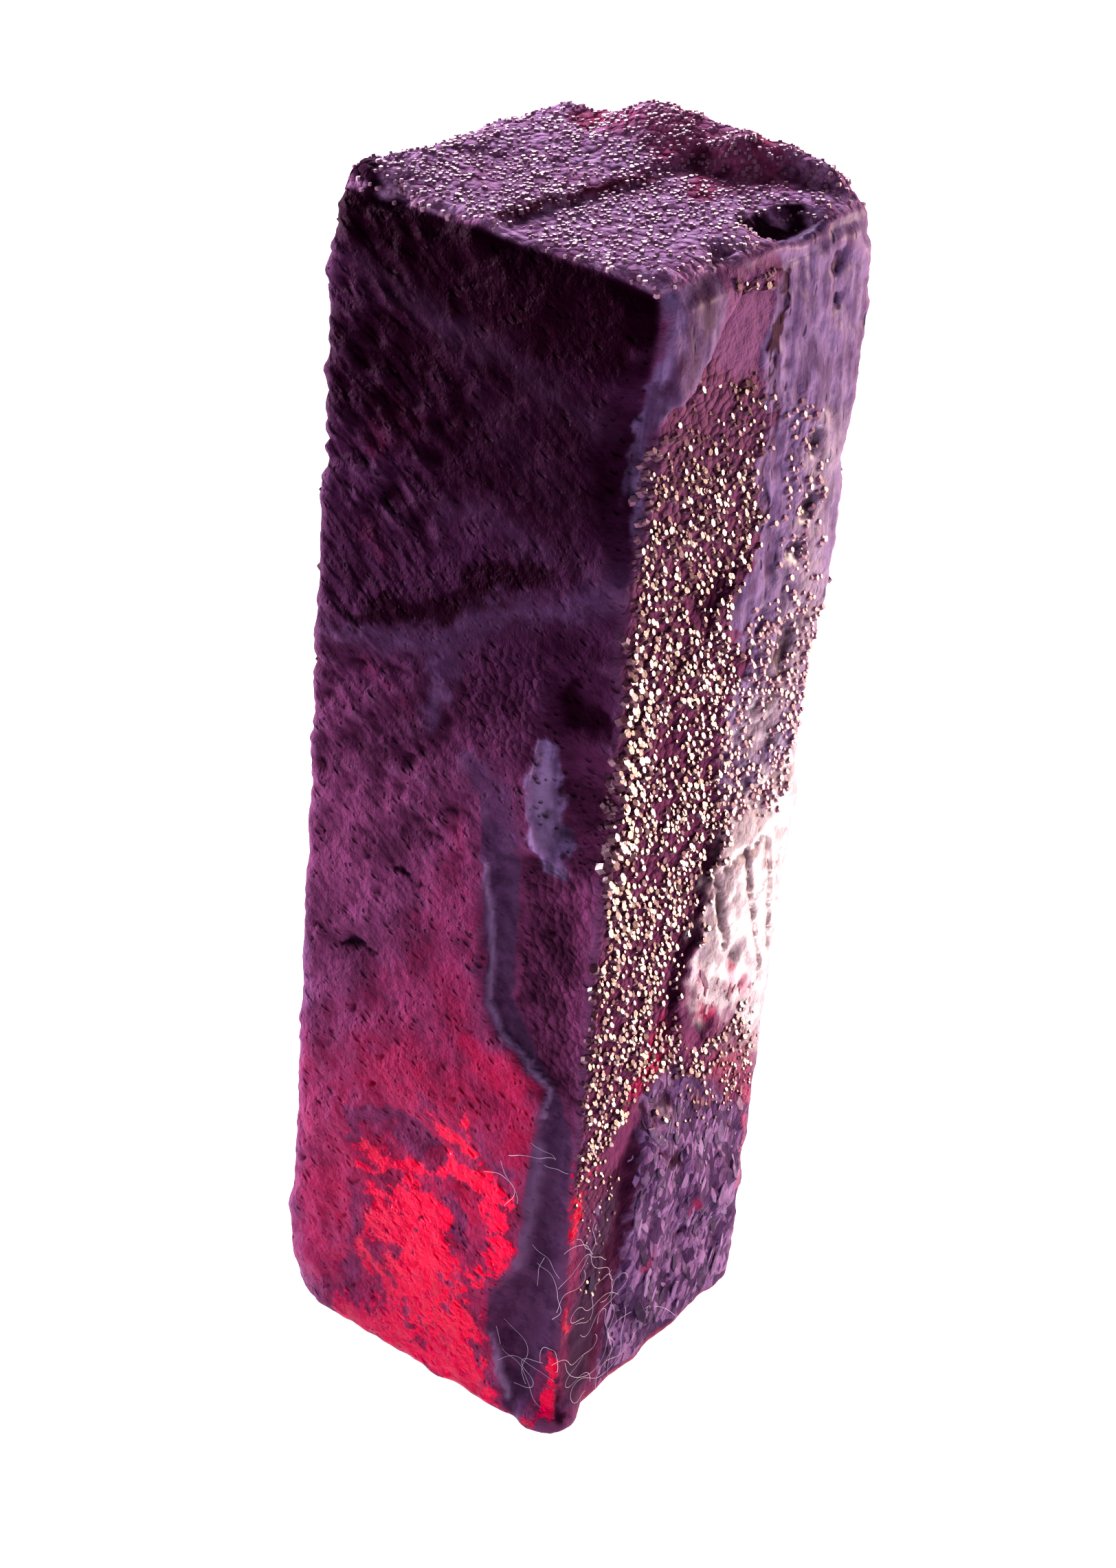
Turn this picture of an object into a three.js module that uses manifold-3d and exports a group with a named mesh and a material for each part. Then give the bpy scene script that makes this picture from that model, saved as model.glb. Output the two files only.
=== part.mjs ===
// Rough red beryl: one four-sided block of crystal that stands on its flat, broken-off base.
// Millimetres, +Z up. The origin is the centre of the base, -Y the front face, +X the right face.

import * as THREE from "three";
import { mergeVertices } from "three/addons/utils/BufferGeometryUtils.js";
import Module from "manifold-3d";

const { clamp, degToRad, lerp, smoothstep } = THREE.MathUtils;

// Driving dimensions of the block
const WIDTH = 10.6;
const DEPTH = 9.6;
const HEIGHT = 36;
const HALF_WIDTH = WIDTH / 2;
const HALF_DEPTH = DEPTH / 2;

// Faces across each side of the block and up its height, and how they crowd towards its edges
const COLUMNS = 13;
const ROWS = 42;
const CROWDING = 0.11;

// Worn radius of the upright edges, the top rim, the rim above the right face and the foot
const UPRIGHT_WEAR = 0.35;
const FRONT_EDGE_WEAR = 0.85;
const RIM_WEAR = 0.5;
const RIGHT_RIM_WEAR = 1.2;
const FOOT_WEAR = 0.22;
const LEFT_CORNER_WEAR = 1.0;

// Ground sunk below a face by a crisp step: the corners of its outline as [across, up], how far it
// is sunk at its hinge, the degrees that it leans about the hinge, and how wide the step's slope is
const SUNK_STRIP = {
  outline: [
    [3.3, -1], [2.95, 2.2], [2.45, 3.6], [2.75, 4.8], [3.35, 5.8], [3.35, 9.6], [3.75, 11.6],
    [3.1, 12.5], [1.75, 13.2], [1.15, 15.2], [1.35, 18.6], [2.3, 19.6], [7, 19.4], [7, -1],
  ],
  depth: 0.36,
  hinge: 2,
  lean: 2.2,
  slope: 0.34,
};
const GRAINY_FIELD = {
  outline: [
    [-7, -1], [-1.2, -1], [-1.25, 2.6], [-1.6, 4.6], [-1.7, 8.2], [-1.3, 10], [0.1, 9.5],
    [0.35, 10.8], [0, 12.4], [-0.4, 13.6], [-0.1, 14.4], [0.45, 15.3], [0.65, 16.6], [0.95, 17.6],
    [0.75, 18.8], [0.55, 20.6], [0.05, 22], [0.4, 23.1], [1.1, 24.1], [0.2, 24.9], [-0.5, 25.7],
    [0.7, 27.5], [1.05, 28.4], [0.45, 29.5], [1, 30.8], [0.4, 32.4], [0.75, 34.8], [-1.2, 35.2],
    [-2.2, 34.2], [-3, 33], [-4.2, 32.5], [-7, 31.5],
  ],
  depth: 0.48,
  hinge: 0,
  lean: 0,
  slope: 0.26,
};
const LOWER_TOP = {
  outline: [
    [-0.35, -7], [-0.4, -3.2], [0, -0.8], [0.25, 1.5], [0.5, 3.4], [2.4, 4.1], [7, 3.6], [7, -7],
  ],
  depth: 0.26,
  hinge: 0,
  lean: 2.4,
  slope: 0.16,
};
const LEFT_STEP = {
  outline: [
    [-7, 37], [-7, 20.6], [-3.6, 20.9], [-2.2, 23.4], [-0.4, 24.2], [0.6, 27.2], [0.2, 30.1],
    [1.5, 32.4], [1.3, 37],
  ],
  depth: 0.24,
  hinge: 0,
  lean: -0.8,
  slope: 0.2,
};
const BACK_STEP = {
  outline: [
    [-7, -1], [-7, 16.4], [-4.1, 15.8], [-2.6, 17.9], [-1.4, 15.1], [0.2, 13.8], [0.5, 10.9],
    [1.9, 8.6], [1.6, 4.9], [2.8, 2.6], [2.6, -1],
  ],
  depth: 0.28,
  hinge: 0,
  lean: -1.2,
  slope: 0.2,
};
const SLAB_THICKNESS = 1.2;

// The slanting band across the front face: its height at the middle, its rise and its slant
const BAND_HEIGHT = 26.1;
const BAND_SLANT = 0.52;
const BAND_RISE = 0.18;

// Rounded lumps and hollows of each face: [across, up, half width, half height, how far out]
const FRONT_LUMPS = [
  [3.9, 24.2, 1.3, 1.5, -0.34],
  [-1.6, 16.9, 1.0, 0.8, -0.12],
  [-3.2, 13.8, 1.2, 0.8, -0.14],
  [-0.6, 8.2, 1.7, 1.0, -0.16],
  [-3.6, 7.4, 1.0, 0.9, 0.12],
  [-2.3, 2.4, 1.2, 1.1, -0.14],
  [1.4, 4.0, 1.8, 1.9, 0.12],
  [-2.6, 31.7, 1.5, 1.0, -0.12],
  [1.0, 34.8, 1.6, 0.9, 0.14],
  [-0.3, 20.6, 1.2, 0.8, 0.12],
];
const RIGHT_LUMPS = [
  [-0.8, 26.4, 1.3, 1.2, -0.22],
  [0.1, 16.6, 1.1, 2.4, -0.2],
  [2.6, 15.4, 1.5, 3.2, 0.14],
  [-2.6, 9.2, 1.1, 2.4, -0.2],
  [-0.9, 8.4, 0.9, 2.2, 0.24],
  [1.4, 5.6, 1.1, 1.5, 0.24],
  [-0.4, 3.6, 1.0, 1.2, 0.2],
  [3.1, 5.0, 1.0, 1.5, 0.24],
  [2.2, 2.2, 1.2, 1.2, 0.2],
  [-3.6, 5.6, 1.3, 1.3, -0.16],
];
const LEFT_LUMPS = [
  [-4.3, 29.0, 1.0, 1.0, -0.2],
  [-3.9, 3.4, 1.8, 2.2, 0.12],
  [-0.8, 26.6, 1.5, 1.9, 0.16],
  [2.9, 22.4, 1.3, 2.2, -0.28],
  [1.9, 14.2, 1.6, 1.9, 0.18],
  [-1.2, 9.7, 1.7, 1.6, -0.2],
  [2.6, 6.4, 1.4, 1.8, 0.2],
];
const BACK_LUMPS = [
  [0.6, 29.4, 2.0, 1.6, 0.2],
  [2.1, 17.0, 1.5, 1.9, -0.22],
  [-3.4, 16.2, 1.4, 2.2, 0.2],
  [0.2, 11.6, 1.9, 1.5, 0.18],
  [2.9, 5.6, 1.4, 1.9, 0.2],
];
const TOP_LUMPS = [
  [-4.4, -3.2, 1.2, 1.5, 0.26],
  [-1.3, 4.0, 1.5, 1.4, 0.22],
  [2.1, 1.6, 1.3, 1.3, -0.18],
  [-2.8, -1.0, 1.4, 1.3, -0.14],
  [-3.4, 3.2, 1.0, 1.0, -0.2],
  [3.0, -3.2, 1.6, 1.2, 0.14],
];

// How far the back of the top rises
const BACK_RISE = 0.55;

// The bite out of the foot below the right face, and how far the side faces lean in
const FOOT_BITE_HEIGHT = 0.5;
const FOOT_BITE_DEPTH = 0.2;
const RIGHT_FOOT_LEAN = 0.28;
const LEFT_HEAD_LEAN = 0.18;

// Rounded pieces grown on the block: middle, half sizes and fineness
const TOE = { middle: [4.1, -3.85, 0.3], size: [1.05, 1.0, 1.4], detail: 2 };
const RIM_TOOTH = { middle: [-0.3, -4.55, 35.65], size: [0.45, 0.5, 0.45], detail: 1 };
const BACK_KNOB = { middle: [1.4, 3.85, 35.9], size: [1.3, 0.8, 0.92], detail: 2 };

// Hollows broken out of the block, smooth as shells or angular as pits
const HOLLOWS = [
  { middle: [7.5, -8.8, 31.1], size: [5.6, 5.6, 6.4], detail: 7 },
  { middle: [4.35, -5.0, 21.2], size: [1.8, 0.95, 2.35], detail: 6 },
  { middle: [4.5, 1.35, 36.0], size: [0.8, 1.4, 0.75], detail: 3 },
  { middle: [4.55, -1.5, 36.0], size: [0.4, 0.6, 0.45], detail: 1 },
  { middle: [-4.3, -3.0, 36.6], size: [0.6, 0.7, 0.7], detail: 2 },
  { middle: [-3.2, -4.95, 36.2], size: [1.1, 0.9, 0.7], detail: 2 },
  { middle: [-1.7, -5.1, 36.0], size: [0.7, 0.6, 0.45], detail: 1 },
  { middle: [0.75, 3.7, 36.9], size: [0.6, 0.5, 0.5], detail: 2 },
  { middle: [-3.9, 4.9, 36.3], size: [1.2, 0.8, 0.6], detail: 2 },
  { middle: [5.3, 5.1, 21.6], size: [0.9, 1.1, 3.6], detail: 4 },
  { middle: [5.4, 5.0, 28.9], size: [0.7, 0.7, 0.9], detail: 2 },
  { middle: [-6.2, 5.6, 12.6], size: [1.7, 1.6, 3.1], detail: 4 },
  { middle: [-6.0, 5.5, 30.8], size: [1.4, 1.2, 1.7], detail: 3 },
  { middle: [-1.4, 6.2, 27.0], size: [2.6, 1.75, 1.9], detail: 4 },
];

// Angular pits in the right face: [across, up, half width, half height]; and their depth
const RIGHT_PITS = [
  [2.9, 34.6, 0.4, 0.5],
  [3.1, 33.6, 0.25, 0.35],
  [2.8, 29.8, 0.4, 0.6],
  [2.9, 27.9, 0.5, 0.5],
  [2.5, 26.7, 0.6, 0.35],
  [2.6, 23.8, 0.4, 1.2],
  [2.3, 20.8, 0.55, 0.45],
  [2.75, 19.3, 0.25, 0.4],
  [1.2, 22.0, 0.3, 0.3],
  [0.15, 7.6, 0.6, 0.6],
  [-0.7, 5.9, 0.25, 0.5],
  [1.1, 4.3, 0.6, 0.4],
  [2.1, 13.9, 0.5, 0.6],
  [1.0, 12.4, 0.6, 0.5],
  [2.8, 12.5, 0.35, 0.6],
  [-0.3, 2.9, 0.3, 0.5],
  [2.5, 1.9, 0.3, 0.7],
];
const PIT_DEPTH = 0.4;

/** Sum of the rounded lumps and hollows of one face at a place on it. */
function lumps(list, across, up) {
  return list.reduce((sum, [acrossMiddle, upMiddle, acrossSize, upSize, height]) => {
    const reach = ((across - acrossMiddle) / acrossSize) ** 2 + ((up - upMiddle) / upSize) ** 2;
    return sum + (reach < 1 ? height * (1 - reach ** 2) : 0);
  }, 0);
}

/** Uneven hummocks, about one and a half to three millimetres apart. */
function hummocks(across, up, phase) {
  const broad = Math.sin(1.9 * across + phase + 0.8 * Math.sin(1.3 * up));
  const tall = Math.sin(2.3 * up + 2 * phase + Math.sin(1.7 * across + phase));
  const slant = Math.sin(3.1 * across - 2.7 * up + 3 * phase);
  return 0.04 * broad * tall + 0.03 * slant;
}

/** How far the front face stands out: its lumps and the slanting band. */
function frontRelief(x, z) {
  const band = z - (BAND_HEIGHT + BAND_SLANT * x);
  const ridge = smoothstep(band, -1.3, -0.2) * (1 - smoothstep(band, 0.1, 0.7));
  return lumps(FRONT_LUMPS, x, z) + hummocks(x, z, 0.4) + BAND_RISE * ridge;
}

/** How far the right face stands out: its lumps, the bite at the foot and the lean above it. */
function rightRelief(y, z) {
  const bite = FOOT_BITE_DEPTH * biteAcross(y) * (1 - smoothstep(z, FOOT_BITE_HEIGHT, 2.4));
  const lean = RIGHT_FOOT_LEAN * (1 - smoothstep(z, 8, 30));
  return lumps(RIGHT_LUMPS, y, z) + hummocks(y, z, 1.3) - bite - lean;
}

/** How deep the bite out of the foot is along the right face, from 0 to 1. */
function biteAcross(y) {
  return smoothstep(y, -3.9, -3.2) * (0.72 + 0.2 * Math.sin(2.6 * y) + 0.08 * Math.sin(6.1 * y + 1));
}

/** Height of the base at a point: flat, but for the bite below the right face. */
function footHeight(x, y) {
  return FOOT_BITE_HEIGHT * biteAcross(y) * smoothstep(x, HALF_WIDTH - 0.9, HALF_WIDTH - 0.1);
}

/** How far the left face stands out. */
function leftRelief(y, z) {
  return lumps(LEFT_LUMPS, y, z) + hummocks(y, z, 2.1) - LEFT_HEAD_LEAN * smoothstep(z, 2, 30);
}

/** How far the back face stands out. */
function backRelief(x, z) {
  return lumps(BACK_LUMPS, x, z) + hummocks(x, z, 3.2);
}

/** How high the top stands: its lumps and the raised back. */
function topRelief(x, y) {
  const back = smoothstep(x, -3.2, -1.2) * smoothstep(y, 1.4, 4.4) * (1 - 0.5 * smoothstep(x, 3.6, 5));
  return lumps(TOP_LUMPS, x, y) + hummocks(x, y, 4.4) + BACK_RISE * back;
}

/** Worn radius of the block's edge nearest to a point. */
function wearAt({ x, y, z }) {
  const left = 1 - smoothstep(x, -HALF_WIDTH + 0.6, -HALF_WIDTH + 1.6);
  const right = smoothstep(x, 3, 4.4);
  const front = 1 - smoothstep(y, 0, HALF_DEPTH);
  const foot = lerp(FOOT_WEAR, LEFT_CORNER_WEAR, left * front);
  const upright = lerp(UPRIGHT_WEAR, FRONT_EDGE_WEAR, right * front);
  const rim = lerp(RIM_WEAR, RIGHT_RIM_WEAR, right) + 0.4 * left;
  const aboveFoot = lerp(foot, upright, smoothstep(z, 0.6, 1.8));
  return lerp(aboveFoot, rim, smoothstep(z, HEIGHT - 2, HEIGHT - 1));
}

/** Rounds a point near the block's edges to the worn radius there. */
function rounded(point) {
  const wear = wearAt(point);
  const inner = new THREE.Vector3(
    clamp(point.x, -HALF_WIDTH + wear, HALF_WIDTH - wear),
    clamp(point.y, -HALF_DEPTH + wear, HALF_DEPTH - wear),
    clamp(point.z, wear, HEIGHT - wear),
  );
  return inner.add(point.clone().sub(inner).clampLength(0, wear));
}

/** The block as a fine box whose faces carry the relief. */
function blockGeometry() {
  const geometry = new THREE.BoxGeometry(2, 2, 2, COLUMNS, COLUMNS, ROWS);
  const position = geometry.getAttribute("position");
  const crowded = (share) => share + CROWDING * Math.sin(Math.PI * share);
  const unit = new THREE.Vector3();
  const onFace = 0.999;
  for (let index = 0; index < position.count; index += 1) {
    unit.fromBufferAttribute(position, index);
    const x = HALF_WIDTH * crowded(unit.x);
    const y = HALF_DEPTH * crowded(unit.y);
    const z = HEIGHT * (unit.z + 1) / 2;
    const placed = rounded(new THREE.Vector3(x, y, z));
    if (unit.x > onFace) placed.x += rightRelief(y, z);
    if (unit.x < -onFace) placed.x -= leftRelief(y, z);
    if (unit.y < -onFace) placed.y -= frontRelief(x, z);
    if (unit.y > onFace) placed.y += backRelief(x, z);
    if (unit.z > onFace) placed.z += topRelief(x, y);
    if (unit.z < -onFace) placed.z = footHeight(x, y);
    position.setXYZ(index, placed.x, placed.y, placed.z);
  }
  return geometry;
}

/** Ellipsoid with a middle and half sizes, flat where it would reach below the base. */
function ellipsoidGeometry({ middle, size, detail }) {
  const geometry = new THREE.IcosahedronGeometry(1, detail);
  geometry.scale(...size);
  geometry.translate(...middle);
  const position = geometry.getAttribute("position");
  for (let index = 0; index < position.count; index += 1) {
    position.setZ(index, Math.max(position.getZ(index), 0));
  }
  return geometry;
}

/** Angular pit in the right face. */
function pitGeometry([y, z, halfWidth, halfHeight]) {
  const geometry = new THREE.DodecahedronGeometry(1);
  geometry.rotateX(y + z);
  geometry.scale(PIT_DEPTH, halfWidth, halfHeight);
  return geometry.translate(HALF_WIDTH, y, z);
}

/** Slab that is cut away along a sunk outline: its lower end lies at Z = -depth at the hinge. */
function sunkGeometry({ outline, depth, hinge, lean, slope }) {
  const shape = new THREE.Shape(outline.map(([across, up]) => new THREE.Vector2(across, up)));
  return new THREE.ExtrudeGeometry(shape, {
    depth: SLAB_THICKNESS,
    bevelThickness: slope,
    bevelSize: slope,
    bevelOffset: -slope,
    bevelSegments: 1,
  }).translate(-hinge, 0, slope - depth).rotateY(degToRad(-lean)).translate(hinge, 0, 0);
}

/** Turns a geometry drawn flat, with Z outwards, onto the front face. */
function ontoFront(geometry) {
  return geometry.rotateX(Math.PI / 2).translate(0, -HALF_DEPTH, 0);
}

/** Turns a geometry drawn flat, with Z outwards, onto the right face. */
function ontoRight(geometry) {
  return geometry.rotateX(Math.PI / 2).rotateZ(Math.PI / 2).translate(HALF_WIDTH, 0, 0);
}

/** Turns a geometry drawn flat, with Z outwards, onto the left face. */
function ontoLeft(geometry) {
  return geometry.rotateX(Math.PI / 2).rotateZ(-Math.PI / 2).translate(-HALF_WIDTH, 0, 0);
}

/** Turns a geometry drawn flat, with Z outwards, onto the back face. */
function ontoBack(geometry) {
  return geometry.rotateX(Math.PI / 2).rotateZ(Math.PI).translate(0, HALF_DEPTH, 0);
}

/** Lifts a geometry drawn flat, with Z outwards, onto the top. */
function ontoTop(geometry) {
  return geometry.translate(0, 0, HEIGHT);
}

/** Closed solid from a three.js geometry. */
function solidFrom(geometry, wasm) {
  const bare = geometry.clone();
  bare.deleteAttribute("normal");
  bare.deleteAttribute("uv");
  const merged = mergeVertices(bare, 1e-4);
  return new wasm.Manifold(new wasm.Mesh({
    numProp: 3,
    vertProperties: new Float32Array(merged.getAttribute("position").array),
    triVerts: new Uint32Array(merged.getIndex().array),
  }));
}

/** three.js geometry from a solid, standing on Z = 0 with its box centred on the origin. */
function standingGeometry(solid) {
  const mesh = solid.getMesh();
  const geometry = new THREE.BufferGeometry();
  geometry.setAttribute("position", new THREE.BufferAttribute(mesh.vertProperties, 3));
  geometry.setIndex(new THREE.BufferAttribute(mesh.triVerts, 1));
  geometry.computeBoundingBox();
  const middle = geometry.boundingBox.getCenter(new THREE.Vector3());
  geometry.translate(-middle.x, -middle.y, -geometry.boundingBox.min.z);
  geometry.computeVertexNormals();
  return geometry;
}

const wasm = await Module();
wasm.setup();

const steps = [
  ontoFront(sunkGeometry(SUNK_STRIP)),
  ontoRight(sunkGeometry(GRAINY_FIELD)),
  ontoTop(sunkGeometry(LOWER_TOP)),
  ontoLeft(sunkGeometry(LEFT_STEP)),
  ontoBack(sunkGeometry(BACK_STEP)),
];
const growths = [TOE, RIM_TOOTH, BACK_KNOB].map(ellipsoidGeometry);
const hollows = [...HOLLOWS.map(ellipsoidGeometry), ...RIGHT_PITS.map(pitGeometry)];
const cut = (solid, geometry) => solid.subtract(solidFrom(geometry, wasm));
const join = (solid, geometry) => solid.add(solidFrom(geometry, wasm));
const stepped = steps.reduce(cut, solidFrom(blockGeometry(), wasm));
const rough = hollows.reduce(cut, growths.reduce(join, stepped));

const crystal = new THREE.Mesh(
  standingGeometry(rough),
  new THREE.MeshStandardMaterial({ color: 0x6b2f5a, roughness: 0.5, metalness: 0 }),
);
crystal.name = "crystal";

const beryl = new THREE.Group();
beryl.add(crystal);

export default beryl;
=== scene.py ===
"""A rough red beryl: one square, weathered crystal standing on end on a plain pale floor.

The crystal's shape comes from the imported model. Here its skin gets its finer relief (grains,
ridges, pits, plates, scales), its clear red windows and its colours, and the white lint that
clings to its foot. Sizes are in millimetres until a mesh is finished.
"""

from __future__ import annotations

import logging
import math
from dataclasses import dataclass, field
from enum import Enum

import bmesh
import bpy
import numpy as np
from mathutils import Matrix, Vector


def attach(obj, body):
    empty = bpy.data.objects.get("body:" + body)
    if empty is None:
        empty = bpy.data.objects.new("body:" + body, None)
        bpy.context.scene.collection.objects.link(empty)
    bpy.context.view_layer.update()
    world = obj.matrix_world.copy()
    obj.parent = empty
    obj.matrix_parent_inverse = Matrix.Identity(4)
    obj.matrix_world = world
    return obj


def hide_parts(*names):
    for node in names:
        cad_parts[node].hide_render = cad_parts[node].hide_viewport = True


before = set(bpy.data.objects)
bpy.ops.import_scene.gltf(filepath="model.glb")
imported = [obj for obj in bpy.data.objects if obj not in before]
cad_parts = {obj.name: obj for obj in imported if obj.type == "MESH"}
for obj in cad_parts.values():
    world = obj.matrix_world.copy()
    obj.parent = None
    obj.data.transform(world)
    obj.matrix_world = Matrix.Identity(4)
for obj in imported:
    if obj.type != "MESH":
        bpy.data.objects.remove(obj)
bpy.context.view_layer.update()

log = logging.getLogger("beryl")

MILLIMETRE = 0.001
HALF_WIDTH = 5.3
HALF_DEPTH = 4.8
HEIGHT = 36.0
RIPPLE_GAIN = 1.7
LAYER_GAIN = 0.55


class Side(Enum):
    """The sides of the crystal."""

    FRONT = "front"
    RIGHT = "right"
    BACK = "back"
    LEFT = "left"
    TOP = "top"
    BASE = "base"

    @property
    def axes(self) -> tuple[int, int]:
        """The two axes that run across and up this side."""
        return {"front": (0, 2), "back": (0, 2), "right": (1, 2), "left": (1, 2)}.get(
            self.value, (0, 1)
        )


def paint(red: int, green: int, blue: int) -> tuple[float, float, float, float]:
    """A linear colour from its everyday 0 to 255 values.

    Args:
        red: The red part.
        green: The green part.
        blue: The blue part.

    Returns:
        The linear colour with an alpha of one.
    """
    linear = [
        part / 255 / 12.92 if part <= 10 else ((part / 255 + 0.055) / 1.055) ** 2.4
        for part in (red, green, blue)
    ]
    return (*linear, 1.0)


# ---------------------------------------------------------------- seeded noise over points


def lattice_random(cells: np.ndarray, salt: int) -> np.ndarray:
    """One fixed random number from 0 to 1 for each cell of a lattice.

    Args:
        cells: Whole-number cell coordinates, shape (n, 3).
        salt: Picks one of many unlike sets.

    Returns:
        The numbers, shape (n,).
    """
    c = cells.astype(np.int64).astype(np.uint64)
    mixed = c[:, 0] * np.uint64(0x9E3779B97F4A7C15) ^ c[:, 1] * np.uint64(0xC2B2AE3D27D4EB4F)
    mixed ^= c[:, 2] * np.uint64(0x165667B19E3779F9) ^ np.uint64(salt * 0x27D4EB2F165667C5 % 2**64)
    for _ in range(2):
        mixed ^= mixed >> np.uint64(29)
        mixed *= np.uint64(0xBF58476D1CE4E5B9)
    return ((mixed >> np.uint64(40)) & np.uint64(0xFFFFFF)).astype(float) / 0xFFFFFF


def ripple(points: np.ndarray, size: float, salt: int) -> np.ndarray:
    """Smooth noise from about -1 to 1.

    Args:
        points: Places in millimetres, shape (n, 3).
        size: The distance between neighbouring bumps.
        salt: Picks the pattern.

    Returns:
        The noise, shape (n,).
    """
    scaled = points / size
    cell = np.floor(scaled)
    inside = scaled - cell
    ease = inside**3 * (inside * (inside * 6 - 15) + 10)
    total = np.zeros(len(points))
    for corner in np.ndindex(2, 2, 2):
        step = np.array(corner)
        slope = [lattice_random(cell + step, salt * 3 + axis) * 2 - 1 for axis in range(3)]
        share = np.prod(np.where(step == 1, ease, 1 - ease), axis=1)
        total += share * sum(slope[axis] * (inside[:, axis] - step[axis]) for axis in range(3))
    return total * RIPPLE_GAIN


def rough(points: np.ndarray, size: float, salt: int, layers: int = 3) -> np.ndarray:
    """Noise with finer and finer layers, from about -1 to 1.

    Args:
        points: Places in millimetres, shape (n, 3).
        size: The broadest bumps' distance.
        salt: Picks the pattern.
        layers: How many layers, each half the size and a little over half the height.

    Returns:
        The noise, shape (n,).
    """
    total, height = np.zeros(len(points)), 1.0
    for layer in range(layers):
        total += height * ripple(points, size / 2**layer, salt + 17 * layer)
        height *= LAYER_GAIN
    return total


@dataclass
class Grains:
    """Grains packed round scattered middles, as found at each of a set of points."""

    reach: np.ndarray
    mark: np.ndarray
    away: np.ndarray
    key: np.ndarray

    @classmethod
    def packed(cls, points: np.ndarray, size: float, salt: int) -> Grains:
        """Finds the nearest grain of each point.

        Args:
            points: Places in millimetres, shape (n, 3).
            size: The distance between neighbouring grains.
            salt: Picks the pattern.

        Returns:
            reach is the distance to the nearest middle in grain sizes, mark three random
            numbers of that grain, away the way from its middle, and key a number of its own.
        """
        scaled = points / size
        cell = np.floor(scaled)
        count = len(points)
        near = np.full(count, 9.0)
        away, owner = np.zeros((count, 3)), np.zeros((count, 3))
        for step in np.ndindex(3, 3, 3):
            home = cell + np.array(step) - 1
            middle = home + np.stack([lattice_random(home, salt * 7 + a) for a in range(3)], 1)
            offset = scaled - middle
            distance = np.linalg.norm(offset, axis=1)
            closer = distance < near
            near = np.where(closer, distance, near)
            away[closer], owner[closer] = offset[closer], home[closer]
        mark = np.stack([lattice_random(owner, salt * 7 + 3 + a) for a in range(3)], 1)
        key = (owner @ np.array([1.0, 4096.0, 4096.0**2])).astype(np.int64)
        return cls(near, mark, away, key)

    def chosen(self, within: float, chance: np.ndarray) -> np.ndarray:
        """Picks the point nearest the middle of each of some grains.

        Args:
            within: How near a middle such a point has to be, in grain sizes.
            chance: The chance of a grain at each point, shape (n,).

        Returns:
            The picked points' numbers, in rising order.
        """
        near = np.flatnonzero((self.reach < within) & (self.mark[:, 2] < chance))
        near = near[np.argsort(self.reach[near], kind="stable")]
        _, first = np.unique(self.key[near], return_index=True)
        return np.sort(near[first])


def fade(value: np.ndarray, low: float, high: float) -> np.ndarray:
    """A soft step: 0 below low, 1 above high, or the other way round if low is the greater."""
    t = np.clip((value - low) / (high - low), 0, 1)
    return t * t * (3 - 2 * t)


def unit(ways: np.ndarray) -> np.ndarray:
    """The same ways with a length of 1."""
    return ways / np.linalg.norm(ways, axis=1, keepdims=True)


# ---------------------------------------------------------------- where things are on the skin


@dataclass(frozen=True)
class Streak:
    """A soft streak on one side, run through round dabs: (across, up, radius) each."""

    side: Side
    dabs: tuple[tuple[float, float, float], ...]
    strength: float = 1.0
    soft: float = 0.3
    ragged: float = 1.0

    def on(self, skin: Skin) -> np.ndarray:
        """How strongly the streak covers the skin.

        Args:
            skin: The crystal's surface points.

        Returns:
            The cover of each point, from 0 to strength.
        """
        place = skin.on_side(self.side) + skin.wander * self.ragged
        nearest = np.full(len(place), 1e3)
        ends = self.dabs if len(self.dabs) > 1 else self.dabs * 2
        for start, end in zip(ends, ends[1:]):
            a, b = np.array(start[:2]), np.array(end[:2])
            run = b - a
            along = np.clip((place - a) @ run / max(run @ run, 1e-9), 0, 1)
            radius = start[2] + along * (end[2] - start[2])
            gap = np.linalg.norm(place - a - along[:, None] * run, axis=1) - radius
            nearest = np.minimum(nearest, gap)
        return self.strength * skin.share[self.side] * fade(nearest, self.soft / 2, -self.soft / 2)


@dataclass(frozen=True)
class Field:
    """A field on one side inside a closed outline of (across, up) points."""

    side: Side
    outline: tuple[tuple[float, float], ...]
    strength: float = 1.0
    soft: float = 0.3
    ragged: float = 1.0

    def on(self, skin: Skin) -> np.ndarray:
        """How strongly the field covers the skin.

        Args:
            skin: The crystal's surface points.

        Returns:
            The cover of each point, from 0 to strength.
        """
        place = skin.on_side(self.side) + skin.wander * self.ragged
        nearest = np.full(len(place), 1e3)
        inside = np.zeros(len(place), bool)
        for start, end in zip(self.outline, self.outline[1:] + self.outline[:1]):
            a, b = np.array(start), np.array(end)
            run = b - a
            along = np.clip((place - a) @ run / (run @ run), 0, 1)
            nearest = np.minimum(nearest, np.linalg.norm(place - a - along[:, None] * run, axis=1))
            crosses = (a[1] > place[:, 1]) != (b[1] > place[:, 1])
            rise = run[1] if run[1] else 1e-9
            inside ^= crosses & (place[:, 0] < a[0] + (place[:, 1] - a[1]) / rise * run[0])
        signed = np.where(inside, -nearest, nearest)
        return self.strength * skin.share[self.side] * fade(signed, self.soft / 2, -self.soft / 2)


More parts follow.
